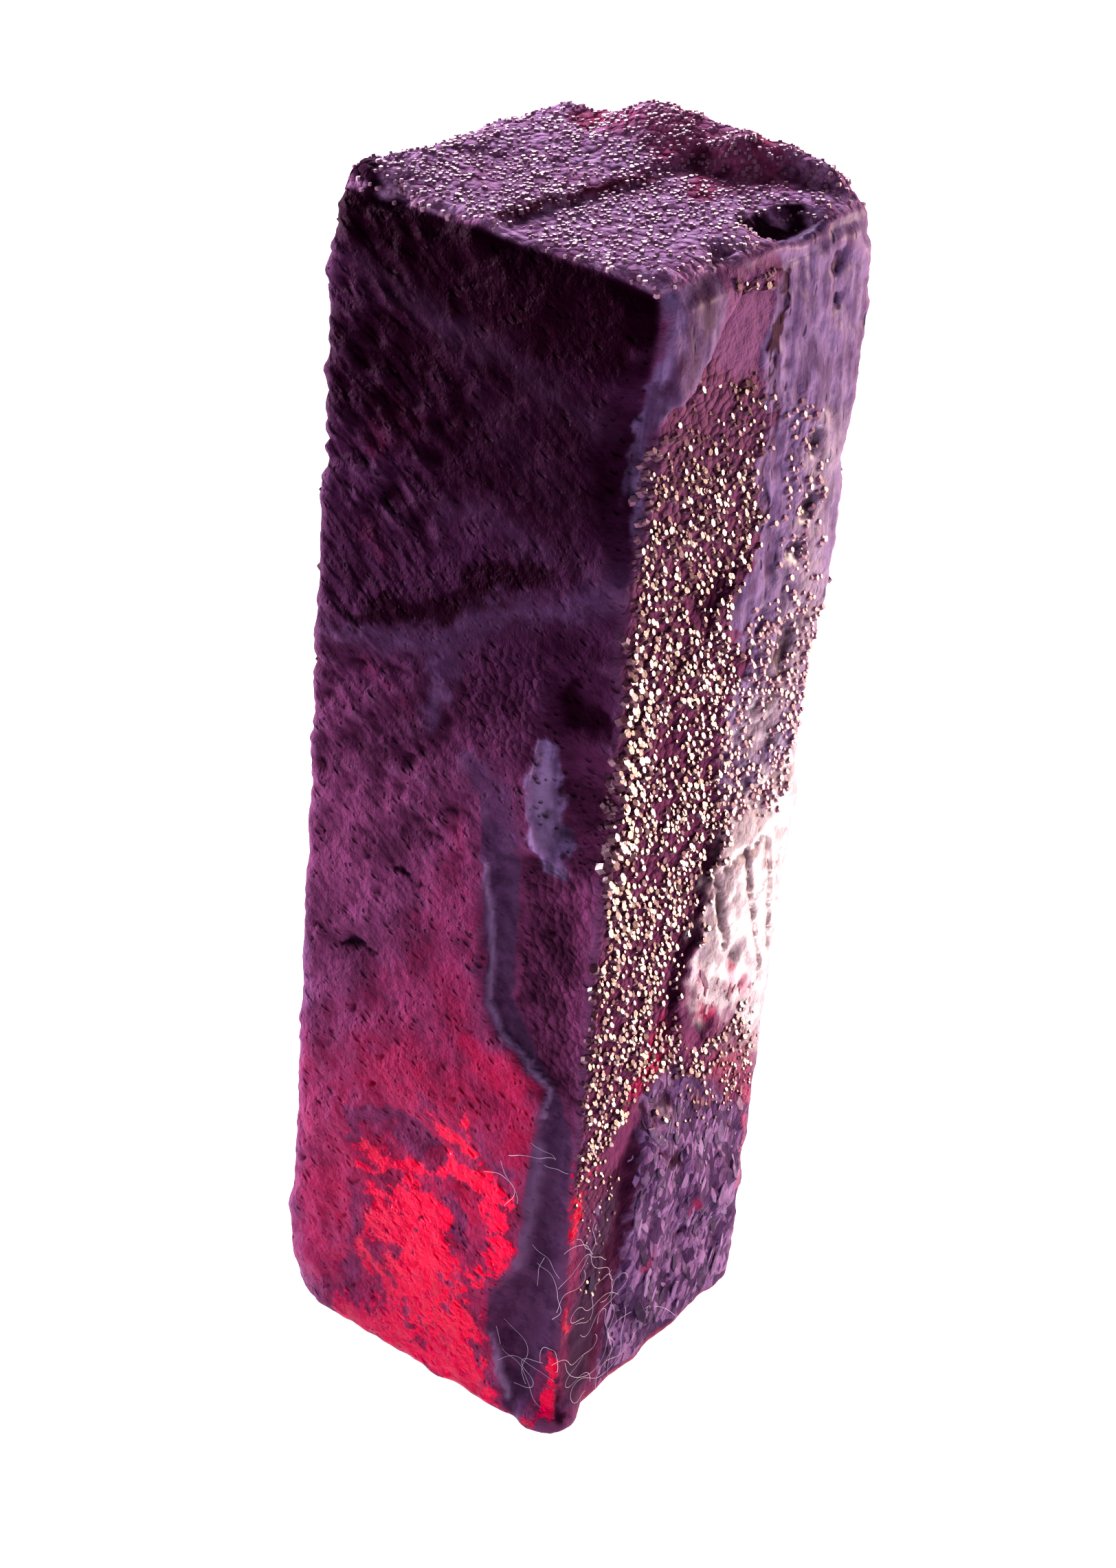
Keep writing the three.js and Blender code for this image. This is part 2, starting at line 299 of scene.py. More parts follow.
@dataclass
class Skin:
    """The crystal's surface points, and how much each belongs to each side."""

    points: np.ndarray
    wander_size: float = 0.7
    wander_reach: float = 0.28
    edge_blend: float = 0.05
    share: dict[Side, np.ndarray] = field(init=False)
    wander: np.ndarray = field(init=False)

    def __post_init__(self) -> None:
        """Works out the sides' shares and the wander that makes the marks' borders ragged."""
        x, y, z = self.points.T
        reach = {
            Side.FRONT: -y / HALF_DEPTH,
            Side.RIGHT: x / HALF_WIDTH,
            Side.BACK: y / HALF_DEPTH,
            Side.LEFT: -x / HALF_WIDTH,
            Side.TOP: 1 - (HEIGHT - z) / HALF_WIDTH,
            Side.BASE: 1 - z / HALF_WIDTH,
        }
        self.share = {}
        for side, value in reach.items():
            others = np.max([other for name, other in reach.items() if name is not side], axis=0)
            self.share[side] = fade(value - others, -self.edge_blend, self.edge_blend)
        self.wander = self.wander_reach * np.stack(
            [rough(self.points, self.wander_size, salt) for salt in (901, 907)], 1
        )

    def on_side(self, side: Side) -> np.ndarray:
        """Each point's place across and up a side."""
        return self.points[:, side.axes]

    def cover(self, marks: tuple[Streak | Field, ...]) -> np.ndarray:
        """How strongly any of the marks covers each point.

        Args:
            marks: The streaks and fields, the strongest of which counts.

        Returns:
            The cover, shape (n,).
        """
        total = np.zeros(len(self.points))
        for side in Side:
            here = [mark.on(self) for mark in marks if mark.side is side]
            if here:
                total += np.max(here, axis=0)
        return total


F, R, B, L, T = Side.FRONT, Side.RIGHT, Side.BACK, Side.LEFT, Side.TOP

# Clear red windows, where no cloudy skin covers the crystal
WINDOWS = (
    Field(
        F,
        (
            (-3.6, -0.5), (-3.5, 0.6), (-2.4, 1.2), (-1.9, 1.3), (-1.8, 2.0), (-1.6, 2.6), (-1.3, 3.3),
            (-1.9, 3.9), (-2.3, 4.6), (-2.1, 5.6), (-1.4, 6.5), (-0.2, 6.9), (0.8, 6.7), (1.1, 5.7),
            (1.4, 4.8), (2.2, 4.5), (2.3, 3.6), (2.3, 2.8), (2.4, 1.8), (2.8, 0.8), (3.0, -0.5),
        ),
        1.05,
        1.9,
    ),
    Streak(F, ((-2.9, 7.1, 0.15), (-1.6, 7.0, 0.35), (-0.4, 7.5, 0.3), (0.7, 8.0, 0.45)), 1.0, 0.8),
    Streak(F, ((0.7, 8.0, 0.45), (1.7, 8.2, 0.45), (2.8, 7.8, 0.45)), 1.0, 0.8),
    Streak(F, ((2.5, 7.4, 0.4), (2.9, 6.1, 0.5), (2.5, 5.2, 0.5), (2.1, 4.5, 0.3)), 1.0, 0.8),
    Streak(F, ((-0.2, 9.6, 0.12), (0.7, 9.2, 0.22), (1.5, 9.0, 0.25)), 0.9, 0.4),
    Streak(F, ((1.1, 10.2, 0.12), (1.4, 9.7, 0.15)), 0.8, 0.4),
    Streak(F, ((-2.3, 3.3, 0.35), (-1.9, 2.7, 0.3))),
    Streak(F, ((-2.1, 8.1, 0.16), (-1.4, 8.2, 0.16))),
    Streak(F, ((-2.4, 6.3, 0.16), (-1.3, 6.8, 0.2))),
    Streak(F, ((5.0, 10.4, 0.1), (5.05, 9.2, 0.25), (5.1, 7.9, 0.25)), 1.0, 0.4),
    Streak(F, ((5.3, 6.6, 0.1), (5.2, 5.0, 0.25), (5.4, 4.0, 0.2)), 1.0, 0.4),
    Streak(F, ((4.8, 2.9, 0.2), (5.1, 1.9, 0.45), (4.8, 1.0, 0.35), (4.3, 0.3, 0.25)), 1.0, 0.4),
    Streak(R, ((-4.9, 9.8, 0.1), (-4.8, 8.6, 0.2), (-4.7, 7.6, 0.2)), 1.0, 0.4),
    Streak(R, ((-4.2, 8.9, 0.15), (-4.2, 7.9, 0.22), (-4.5, 7.4, 0.25)), 1.0, 0.4),
    Streak(R, ((-3.9, 9.4, 0.1), (-3.4, 9.4, 0.08)), 1.0, 0.3),
    Streak(R, ((-4.6, 7.2, 0.12), (-4.7, 6.3, 0.2), (-4.7, 5.0, 0.35), (-4.4, 4.1, 0.25)), 1.0, 0.4),
    Streak(R, ((-4.6, 3.9, 0.15), (-4.8, 2.9, 0.3), (-4.8, 1.9, 0.35)), 1.0, 0.4),
    Streak(R, ((4.3, 8.6, 0.25), (4.4, 6.5, 0.3), (4.3, 4.5, 0.25)), 0.8, 0.5),
    Streak(B, ((-3.6, 0.8, 1.0), (-2.6, 2.6, 1.4), (-0.4, 3.4, 1.6), (1.8, 2.6, 1.4))),
    Streak(B, ((-2.6, 2.6, 1.4), (-3.0, 5.6, 1.2), (-1.6, 7.8, 1.2), (0.4, 8.2, 0.9))),
    Streak(B, ((2.6, 2.0, 1.2), (3.6, 5.2, 0.9), (2.6, 7.6, 0.8), (3.2, 10.4, 0.6))),
    Streak(B, ((-0.8, 10.6, 0.7), (0.6, 12.4, 0.6), (-0.4, 14.0, 0.4))),
    Streak(L, ((-3.4, 1.0, 1.0), (-1.6, 2.6, 1.5), (0.8, 2.2, 1.3), (3.0, 3.2, 1.2))),
    Streak(L, ((-1.6, 3.6, 1.3), (-0.4, 6.0, 1.1), (1.6, 7.0, 1.0), (3.2, 8.6, 0.7))),
    Streak(L, ((-3.2, 7.6, 0.6), (-2.4, 9.8, 0.7), (-0.8, 10.8, 0.5))),
)
# Thin cloudy skin that the red glows through, fading upwards
GLOWS = (
    Streak(F, ((-1.0, 2.0, 4.6), (-0.6, 7.4, 4.2)), 0.28, 4.0),
    Streak(F, ((0.4, 10.0, 2.4), (0.3, 13.0, 1.4)), 0.08, 3.4),
    Streak(F, ((1.3, 12.2, 0.6), (2.6, 11.9, 0.9), (3.2, 11.0, 0.6), (2.9, 9.6, 0.6)), 0.2, 0.9),
    Streak(R, ((-5.0, 9.0, 0.9), (-5.0, 2.0, 0.9)), 0.3, 1.0),
    Streak(R, ((-0.9, 12.9, 0.2), (-1.1, 12.0, 0.4), (-1.7, 11.3, 0.3)), 0.45, 0.8),
    Streak(R, ((2.0, 9.8, 0.6), (3.4, 9.8, 0.8), (4.0, 8.4, 0.5)), 0.25, 1.2),
    Streak(B, ((0.0, 2.0, 6.0), (0.0, 12.0, 4.0)), 0.75, 5.0),
    Streak(B, ((0.0, 16.0, 3.0), (0.4, 21.0, 1.6)), 0.35, 4.0),
    Streak(L, ((0.0, 2.0, 5.0), (0.0, 9.0, 4.0)), 0.6, 5.0),
    Streak(Side.BASE, ((0.0, 0.0, 6.0),), 0.8, 2.0),
    Streak(T, ((-3.5, 3.6, 0.4), (-3.2, 3.0, 0.3)), 0.15, 0.6),
)
# Dark plum patches that stand before the windows
SMUTS = (
    Streak(F, ((-2.9, 7.2, 0.3), (-2.5, 8.2, 0.35), (-1.4, 8.5, 0.5), (-0.3, 8.3, 0.6), (0.2, 7.9, 0.35))),
    Streak(F, ((0.9, 7.0, 0.15), (1.3, 6.4, 0.25), (1.5, 5.6, 0.2))),
    Streak(F, ((1.7, 9.6, 0.25), (2.3, 8.9, 0.3), (2.8, 8.7, 0.15)), 0.7),
    Streak(F, ((-2.6, 5.6, 0.3), (-2.5, 4.4, 0.3), (-2.6, 2.6, 0.4), (-2.8, 1.7, 0.4)), 0.6, 0.8),
    Streak(F, ((-1.4, 3.2, 0.2), (-0.9, 2.5, 0.15)), 0.6),
    Streak(F, ((-1.6, 1.4, 0.2), (-0.9, 1.9, 0.2)), 0.6),
    Streak(F, ((-3.0, 12.0, 0.5), (-2.0, 11.6, 0.5), (-1.2, 12.6, 0.3)), 0.4, 0.6),
    Streak(B, ((-3.8, 4.4, 0.4), (-2.0, 5.0, 0.5), (-0.6, 5.8, 0.5), (1.2, 5.6, 0.4))),
    Streak(B, ((0.6, 10.0, 0.4), (1.8, 9.2, 0.4), (2.8, 9.4, 0.3))),
    Streak(L, ((-3.0, 4.8, 0.5), (-1.6, 5.2, 0.3), (0.8, 4.6, 0.5), (2.4, 5.2, 0.4))),
    Streak(L, ((-1.2, 8.6, 0.4), (0.8, 8.9, 0.4), (2.0, 9.6, 0.3))),
)
# Painted shade: dark hollows, the shaded sides of steps and ledges and the darkened upper front, with some
# dark bands of the skin
SHADES_AND_DARKS = (
    Streak(F, ((4.1, 10.6, 0.4), (4.1, 6.0, 0.4), (3.8, 3.0, 0.5), (3.8, 1.0, 0.3)), 0.4, 0.8),
    Streak(F, ((-3.6, 24.0, 0.15), (-3.0, 24.4, 0.36), (-2.3, 24.9, 0.46), (-1.3, 25.1, 0.4)), 1.0, 0.6),
    Streak(F, ((-1.3, 25.1, 0.4), (-0.5, 25.5, 0.4), (0.3, 26.2, 0.5), (1.1, 27.1, 0.5)), 1.0, 0.6),
    Streak(F, ((1.1, 27.1, 0.5), (2.0, 27.6, 0.46), (2.8, 27.7, 0.25)), 1.0, 0.6),
    Streak(F, ((3.5, 24.8, 0.3), (3.7, 23.9, 0.6), (4.4, 24.1, 0.5)), 0.8, 0.5),
    Streak(F, ((-4.2, 35.0, 0.8), (-2.0, 35.1, 0.8), (-0.4, 34.6, 0.5)), 0.8, 0.8),
    Streak(F, ((2.2, 35.5, 0.5), (4.0, 34.9, 0.8), (3.0, 33.7, 0.5), (1.0, 33.8, 0.3)), 0.8, 0.8),
    Streak(F, ((-4.0, 30.4, 0.4), (-2.2, 29.4, 0.5), (-1.4, 31.8, 0.5)), 0.4, 1.2),
    Streak(F, ((-1.8, 16.9, 0.12), (-1.4, 17.0, 0.1))),
    Streak(F, ((-3.7, 13.7, 0.08), (-3.0, 13.9, 0.12), (-2.2, 13.8, 0.06))),
    Streak(F, ((3.4, 18.6, 0.9), (3.4, 13.6, 1.0), (4.3, 12.4, 0.5)), 0.5, 0.5),
    Streak(F, ((-2.0, 36.0, 3.0), (3.0, 36.0, 3.0)), 1.0, 2.0),
    Streak(F, ((-2.6, 31.5, 2.6), (2.0, 31.0, 3.0)), 0.72, 3.0),
    Streak(F, ((-2.6, 26.5, 2.6), (2.8, 24.6, 2.2)), 0.4, 2.5),
    Streak(
        F,
        ((-3.0, 24.2, 0.2), (-1.3, 24.6, 0.4), (0.4, 25.4, 0.5), (2.2, 27.0, 0.5), (4.4, 27.8, 0.5)),
        0.3,
        1.6,
    ),
    Streak(R, ((-5.2, 35.8, 0.8), (-5.6, 34.2, 0.4)), 0.9, 0.5),
    Streak(R, ((-2.9, 35.6, 0.7), (-3.6, 33.6, 0.7), (-4.6, 31.6, 0.6), (-4.7, 29.0, 0.5)), 0.6, 0.8),
    Streak(R, ((-2.0, 8.6, 0.8), (-2.6, 6.0, 0.9), (-3.2, 4.0, 0.9), (-3.4, 1.8, 0.9)), 0.7, 0.8),
    Streak(R, ((-1.0, 26.3, 0.6), (0.1, 27.0, 0.3)), 0.8, 0.4),
    Streak(R, ((0.75, 35.0, 0.1), (0.7, 33.7, 0.14), (0.45, 32.2, 0.08)), 1.0, 0.3),
    Streak(R, ((0.5, 18.2, 0.35), (0.3, 16.4, 0.35), (-0.4, 14.7, 0.4), (-0.7, 12.8, 0.3)), 0.9, 0.3),
    Streak(R, ((0.6, 12.6, 0.15), (1.2, 11.6, 0.3)), 0.8, 0.3),
    Streak(R, ((2.6, 24.0, 0.25), (2.3, 22.3, 0.2)), 0.8, 0.4),
    Streak(R, ((-4.6, 2.2, 0.2), (-4.3, 0.7, 0.3)), 0.9, 0.3),
    Streak(R, ((0.3, 7.6, 0.4), (0.7, 7.1, 0.2)), 0.8, 0.3),
    Streak(T, ((4.0, 0.5, 0.4), (4.3, 1.4, 0.55), (4.4, 2.2, 0.3)), 1.0, 0.4),
    Streak(T, ((4.7, -1.5, 0.15), (5.0, -2.0, 0.2)), 0.9, 0.3),
    Streak(T, ((1.9, 4.6, 0.3), (2.3, 4.3, 0.2)), 0.6, 0.4),
    Streak(T, ((-4.7, -4.0, 0.5), (-3.9, -4.4, 0.3)), 0.9, 0.6),
    Streak(T, ((-4.9, -3.2, 0.3), (-4.5, -2.6, 0.2)), 0.8, 0.4),
    Streak(T, ((-3.0, -4.5, 0.25), (-2.4, -4.3, 0.15)), 0.7, 0.4),
)
# The plate's crisp edge on the front, from top to bottom
PLATE_EDGE = (
    (1.0, 20.4), (1.15, 18.6), (1.3, 17.0), (1.45, 15.2), (1.5, 14.2), (2.0, 13.2), (3.0, 12.75),
    (3.7, 12.1), (3.75, 11.3), (3.55, 10.3), (3.45, 9.0), (3.45, 7.6), (3.25, 5.9), (2.6, 4.6),
    (2.45, 3.2), (2.8, 2.2), (3.2, 0.9), (3.4, -0.5),
)
# Smooth pale film, grey violet
FILMS = (
    Field(
        F,
        (
            *PLATE_EDGE, (3.9, -0.5), (4.2, 1.4), (4.35, 2.8), (4.9, 3.6), (5.0, 6.6), (4.8, 7.6),
            (4.75, 10.8), (4.2, 12.0), (2.9, 13.6), (2.3, 14.6), (2.2, 19.6),
        ),
        0.95,
        0.14,
        0.2,
    ),
    Streak(F, ((-3.9, 34.0, 0.2), (-2.8, 33.8, 0.3), (-1.5, 33.3, 0.4), (-0.5, 33.0, 0.35)), 0.7, 1.0),
    Streak(F, ((-0.5, 33.0, 0.35), (0.9, 33.0, 0.3), (2.3, 32.3, 0.4), (3.7, 32.0, 0.4)), 0.6, 1.0),
    Streak(F, ((0.4, 31.3, 0.7), (1.7, 30.4, 0.9), (2.9, 29.9, 0.8), (3.6, 28.6, 0.6)), 0.3, 1.6),
    Streak(F, ((4.7, 28.0, 0.5), (3.7, 27.1, 0.5), (2.4, 26.6, 0.35), (1.0, 25.9, 0.35)), 0.8, 1.1),
    Streak(
        F,
        ((1.0, 25.9, 0.35), (0.2, 25.1, 0.45), (-0.8, 24.4, 0.5), (-2.2, 24.0, 0.4), (-4.3, 23.5, 0.2)),
        0.8,
        1.1,
    ),
    Streak(F, ((-0.4, 24.0, 0.5), (-0.7, 22.9, 0.4), (-0.8, 22.2, 0.3)), 0.8, 0.6),
    Streak(F, ((0.7, 21.4, 0.5), (1.5, 20.8, 0.6), (2.0, 19.4, 0.4)), 0.6, 0.6),
    Streak(F, ((2.5, 28.2, 0.5), (0.4, 28.6, 0.5), (-0.8, 28.0, 0.3)), 0.4, 0.8),
    Streak(R, ((-2.6, 8.0, 0.3), (-3.0, 6.0, 0.5), (-3.3, 4.0, 0.6), (-3.5, 1.2, 0.6)), 0.75, 0.6),
)
# Rough granular skin
GRAINY = (
    Field(
        R,
        (
            (-6.5, 8.5), (-3.4, 9.6), (-1.5, 10.8), (0.2, 11.4), (0.0, 12.4), (-0.4, 13.6), (-0.1, 14.4),
            (0.45, 15.3), (0.7, 16.6), (1.1, 17.6), (1.1, 18.8), (1.0, 20.6), (0.6, 22.0),
            (0.7, 23.1), (1.1, 24.1), (0.2, 24.9), (-0.5, 25.7), (0.7, 27.5), (1.05, 28.4),
            (0.45, 29.5), (1.0, 30.8), (0.4, 32.2), (-0.7, 32.4), (-2.0, 33.2), (-3.2, 32.8),
            (-4.3, 31.0), (-4.2, 29.2), (-5.0, 28.0), (-6.5, 27.0),
        ),
        1.0,
        0.5,
    ),
    Streak(R, ((1.8, 31.0, 0.6), (2.6, 28.6, 0.9), (3.2, 24.0, 1.0), (2.4, 20.6, 1.0)), 0.5, 1.0),
    Streak(R, ((0.4, 11.2, 0.5), (1.6, 10.6, 0.8), (2.8, 10.4, 1.0), (3.4, 8.6, 0.8)), 0.75, 0.8),
    Streak(R, ((1.6, 24.6, 0.6), (1.8, 22.0, 1.0), (2.0, 19.6, 0.9)), 0.85, 1.2),
    Streak(R, ((3.3, 24.4, 0.8), (3.4, 21.8, 1.1), (3.0, 19.2, 0.9)), 0.75, 0.9),
    Streak(R, ((-5.0, 32.6, 0.5), (-4.9, 30.6, 0.6), (-4.6, 29.0, 0.5)), 0.6, 0.8),
    Streak(R, ((-1.6, 34.9, 0.12), (-0.2, 35.0, 0.14)), 0.9, 0.2),
    Streak(R, ((-4.0, 9.6, 0.7), (-3.2, 8.2, 0.9), (-3.0, 6.4, 0.7), (-3.4, 4.6, 0.4)), 0.7, 0.8),
    Streak(R, ((-1.4, 9.6, 0.3), (0.6, 9.2, 0.6), (2.4, 8.4, 0.6)), 0.45, 0.8),
    Streak(R, ((-4.5, 30.4, 0.3), (-4.8, 27.4, 0.5), (-4.9, 24.4, 0.5)), 0.6, 0.8),
    Streak(T, ((-2.8, 0.0, 5.2), (0.0, 2.0, 4.4)), 1.0, 2.0),
    Streak(T, ((2.4, -2.0, 4.0), (3.0, 2.6, 3.6)), 0.8, 2.0),
    Streak(B, ((4.4, 33.0, 0.8), (4.2, 26.0, 0.8), (3.8, 20.0, 0.4)), 0.8, 2.6),
    Streak(L, ((-3.8, 34.0, 0.8), (-3.6, 28.0, 0.8), (-3.0, 22.0, 0.4)), 0.7, 2.6),
)
# Hummocks and scallops that slant across the skin
RIDGED = (
    Streak(F, ((-3.6, 34.0, 2.2), (-3.4, 28.0, 2.4), (-3.6, 24.0, 1.6)), 1.0, 2.4),
    Streak(F, ((-1.0, 32.0, 1.8), (2.6, 30.6, 1.6), (1.0, 28.0, 1.8)), 0.45, 2.4),
    Streak(F, ((-3.2, 21.0, 2.2), (-0.6, 19.6, 1.8), (-3.6, 14.6, 1.0)), 0.5, 2.0),
    Streak(F, ((3.6, 25.6, 1.0), (3.0, 33.0, 1.0)), 0.4, 1.6),
    Streak(B, ((0.0, 33.0, 5.0), (0.0, 16.0, 4.4)), 0.7, 3.0),
    Streak(L, ((0.0, 33.0, 5.0), (0.0, 14.0, 4.0)), 0.8, 3.0),
)
# Painted highlight: pale fringe along the plate's edge and the scoop's rim, where the rims catch the light
LIT_FRINGES = (
    Streak(F, tuple((x + 0.16, z, 0.05) for x, z in PLATE_EDGE[1:6]), 1.0, 0.16, 0.2),
    Streak(F, tuple((x + 0.14, z + 0.05, 0.06) for x, z in PLATE_EDGE[5:9]), 1.0, 0.14, 0.2),
    Streak(F, tuple((x + 0.2, z, 0.12) for x, z in PLATE_EDGE[9:13]), 0.6, 0.4, 0.3),
    Streak(F, ((2.75, 2.9, 0.04), (3.0, 1.9, 0.1), (3.4, 0.7, 0.1)), 1.0, 0.16, 0.4),
    Streak(F, ((2.72, 22.9, 0.04), (2.55, 21.8, 0.06), (2.6, 20.6, 0.06), (2.9, 19.6, 0.05)), 1.0, 0.12, 0.3),
    Streak(F, ((2.85, 22.4, 0.1), (2.85, 21.2, 0.24), (3.05, 20.0, 0.28)), 0.75, 0.4, 0.4),
)
# Pebbled skin, without grains that stand out
PEBBLED = (
    Streak(F, ((3.4, 18.4, 0.9), (3.5, 15.0, 1.1), (4.1, 12.6, 0.6)), 1.0, 0.4),
    Streak(F, ((1.2, 24.2, 0.8), (0.8, 23.0, 0.9), (2.0, 22.6, 0.7), (2.2, 24.6, 0.6)), 0.9, 0.8),
    Streak(F, ((4.2, 21.6, 0.6), (4.4, 19.0, 0.7)), 0.6, 0.6),
    Streak(B, ((-2.0, 31.0, 1.6), (-0.4, 27.0, 1.4), (-1.6, 20.0, 1.8)), 0.7, 1.0),
    Streak(L, ((2.4, 31.0, 1.4), (1.6, 24.0, 1.6), (2.6, 18.0, 1.2)), 0.7, 1.0),
)
# Pale lavender plates of the right side and its chipped corner, and those of the back
PLATES = (
    Field(
        F,
        (
            (5.6, 35.3), (5.2, 34.6), (4.95, 33.6), (4.6, 32.8), (4.45, 32.2), (4.3, 31.2), (4.3, 30.6),
            (4.55, 29.8), (5.0, 28.8), (5.6, 28.2), (6.0, 31.0),
        ),
        1.0,
        0.25,
    ),
    Field(
        R,
        (
            (-4.1, 36.8), (1.0, 36.8), (0.9, 34.8), (0.3, 35.4), (-2.3, 35.7), (-2.3, 33.4),
            (-3.3, 32.9), (-3.95, 31.9), (-4.05, 30.2), (-4.3, 28.6), (-5.0, 27.4), (-6.0, 27.0),
            (-6.0, 33.3), (-5.0, 33.5), (-4.4, 34.6),
        ),
        0.95,
        0.7,
        0.6,
    ),
    # Painted highlight: the scoop's wall, pale where it faces the light
    Streak(F, ((2.95, 22.9, 0.2), (2.9, 21.6, 0.38), (3.05, 20.2, 0.48), (3.35, 19.3, 0.4)), 1.0, 0.3),
    Field(
        R,
        (
            (0.5, 36.4), (0.4, 34.8), (0.2, 32.4), (0.8, 30.8), (0.4, 29.5), (1.0, 28.4), (0.8, 27.5),
            (-0.3, 25.7), (0.4, 24.9), (1.0, 24.1), (0.4, 23.1), (0.1, 22.0), (0.5, 20.6), (0.8, 18.8),
            (1.1, 17.6), (0.8, 16.6), (0.55, 15.3), (0.1, 14.4), (1.4, 13.0), (3.2, 11.8), (6.0, 10.5),
            (6.0, 36.8),
        ),
        1.0,
        0.3,
    ),
    Field(
        B,
        (
            (-6.0, 37.0), (-6.0, 17.0), (-3.4, 17.8), (-2.2, 21.0), (-0.6, 22.4), (0.4, 26.0),
            (2.0, 29.0), (1.6, 37.0),
        ),
        0.8,
        1.0,
        2.0,
    ),
)
# Painted glare: the part of those plates that the light catches most, painted pale
PAINTED_GLARE = (
    Field(
        R,
        (
            (1.0, 19.4), (0.85, 17.4), (0.5, 15.6), (0.2, 14.0), (0.5, 12.7), (1.8, 12.2), (3.0, 11.0),
            (4.0, 9.4), (6.0, 9.0), (6.0, 20.6), (2.6, 20.0),
        ),
        1.0,
        1.3,
        1.8,
    ),
    Streak(R, ((2.2, 21.8, 1.2), (3.4, 24.0, 1.0)), 0.6, 2.4, 2.0),
    Streak(R, ((3.0, 24.4, 1.2), (3.4, 29.6, 0.9)), 0.4, 2.0, 2.0),
    Streak(R, ((2.6, 10.4, 0.8), (4.2, 9.4, 0.8)), 0.3, 1.2),
)
# Paler mauve skin, and along the front's left edge a painted sheen where the light grazes it
VEILS_AND_SHEEN = (
    Field(R, ((-2.4, 35.9), (0.4, 35.2), (0.65, 32.7), (0.3, 31.9), (-0.7, 32.3), (-2.2, 33.2)), 1.0, 0.9),
    Streak(R, ((-0.4, 35.0, 0.3), (0.1, 34.0, 0.3)), 0.8, 0.5),
    Streak(F, ((-5.1, 13.0, 0.3), (-4.8, 8.0, 0.7), (-4.6, 1.0, 0.8)), 0.75, 1.4),
    Streak(F, ((-5.2, 22.0, 0.2), (-5.1, 14.0, 0.3)), 0.35, 1.2),
)
# Violet grey scales near the foot
SCALES = (
    Field(
        R,
        (
            (-1.6, 10.8), (0.2, 11.0), (1.4, 9.9), (2.6, 8.6), (4.2, 7.2), (6.0, 6.4), (6.0, -1.0),
            (-2.6, -1.0), (-2.2, 3.0), (-1.7, 6.0),
        ),
        1.0,
        0.5,
    ),
    Streak(R, ((-2.8, 7.6, 0.5), (-3.3, 4.6, 0.7), (-3.6, 1.8, 0.6)), 0.55, 0.8),
    Field(B, ((6.0, 0.0), (6.0, 12.0), (3.6, 13.0), (2.6, 8.0), (3.2, 4.0), (2.8, 0.0)), 0.6, 0.8),
)
# Dull red tinges
FLUSHES = (
    Streak(F, ((0.6, 35.2, 0.4), (1.5, 34.7, 0.6), (1.4, 35.4, 0.4)), 0.5, 1.0),
    Streak(F, ((-3.5, 26.6, 0.3), (-2.6, 26.4, 0.4)), 0.3, 0.8),
    Streak(F, ((-3.0, 29.6, 0.6), (-1.8, 30.6, 0.5)), 0.3, 1.0),
    Streak(F, ((-1.4, 22.2, 0.3), (-3.0, 23.0, 0.4)), 0.25, 0.8),
    Streak(F, ((0.4, 19.0, 0.8), (0.4, 15.0, 1.8), (0.0, 11.0, 3.6), (-0.5, 4.0, 4.4)), 0.42, 3.8),
    Streak(F, ((1.4, 12.4, 0.8), (2.6, 11.9, 1.0), (2.9, 9.6, 0.6)), 0.6, 1.2),
    Streak(F, ((-4.9, 10.6, 0.2), (-4.5, 7.4, 0.7), (-4.2, 2.0, 0.8)), 0.62, 1.8),
    Streak(R, ((-0.9, 13.0, 0.3), (-1.1, 12.0, 0.6), (-1.8, 11.2, 0.5)), 0.8, 1.0),
    Streak(R, ((0.4, 14.3, 0.14), (0.7, 13.5, 0.2)), 0.9, 0.2),
    Streak(R, ((1.9, 14.2, 0.12), (2.2, 13.2, 0.2)), 0.9, 0.2),
    Streak(R, ((0.5, 12.7, 0.2), (1.3, 12.2, 0.3)), 0.9, 0.3),
    Streak(R, ((2.8, 12.9, 0.12), (3.0, 12.0, 0.2)), 0.9, 0.2),
    Streak(R, ((2.0, 10.2, 0.6), (3.4, 9.6, 0.8), (4.0, 8.2, 0.4)), 0.4, 1.2),
    Streak(R, ((1.4, 5.3, 0.3),), 0.7, 0.5),
    Streak(R, ((-0.7, 4.4, 0.3),), 0.7, 0.5),
    Streak(R, ((3.0, 1.2, 0.3),), 0.7, 0.5),
    Streak(T, ((-3.2, 3.8, 0.5), (-2.9, 3.2, 0.4)), 1.0, 0.8),
    Streak(T, ((-0.6, 4.4, 0.6), (0.2, 2.4, 0.6)), 0.7, 1.2),
    Streak(T, ((1.6, 4.6, 0.5), (2.1, 3.8, 0.6)), 0.8, 0.9),
    Streak(T, ((1.9, 1.5, 0.5), (1.4, 2.4, 0.4)), 0.8, 0.8),
    Streak(T, ((0.3, 1.4, 0.3), (0.1, -0.8, 0.3)), 0.6, 0.6),
    Streak(T, ((-2.8, -1.4, 0.8), (-1.6, -2.6, 0.6)), 0.3, 1.2),
    Streak(T, ((-2.0, 3.4, 0.9), (2.6, 3.4, 1.0)), 0.6, 1.6),
    Streak(T, ((0.6, 0.6, 0.8), (-0.6, -0.8, 0.6)), 0.35, 1.2),
    Streak(T, ((0.6, 3.4, 0.9), (2.2, 2.6, 0.8)), 0.5, 1.2),
)
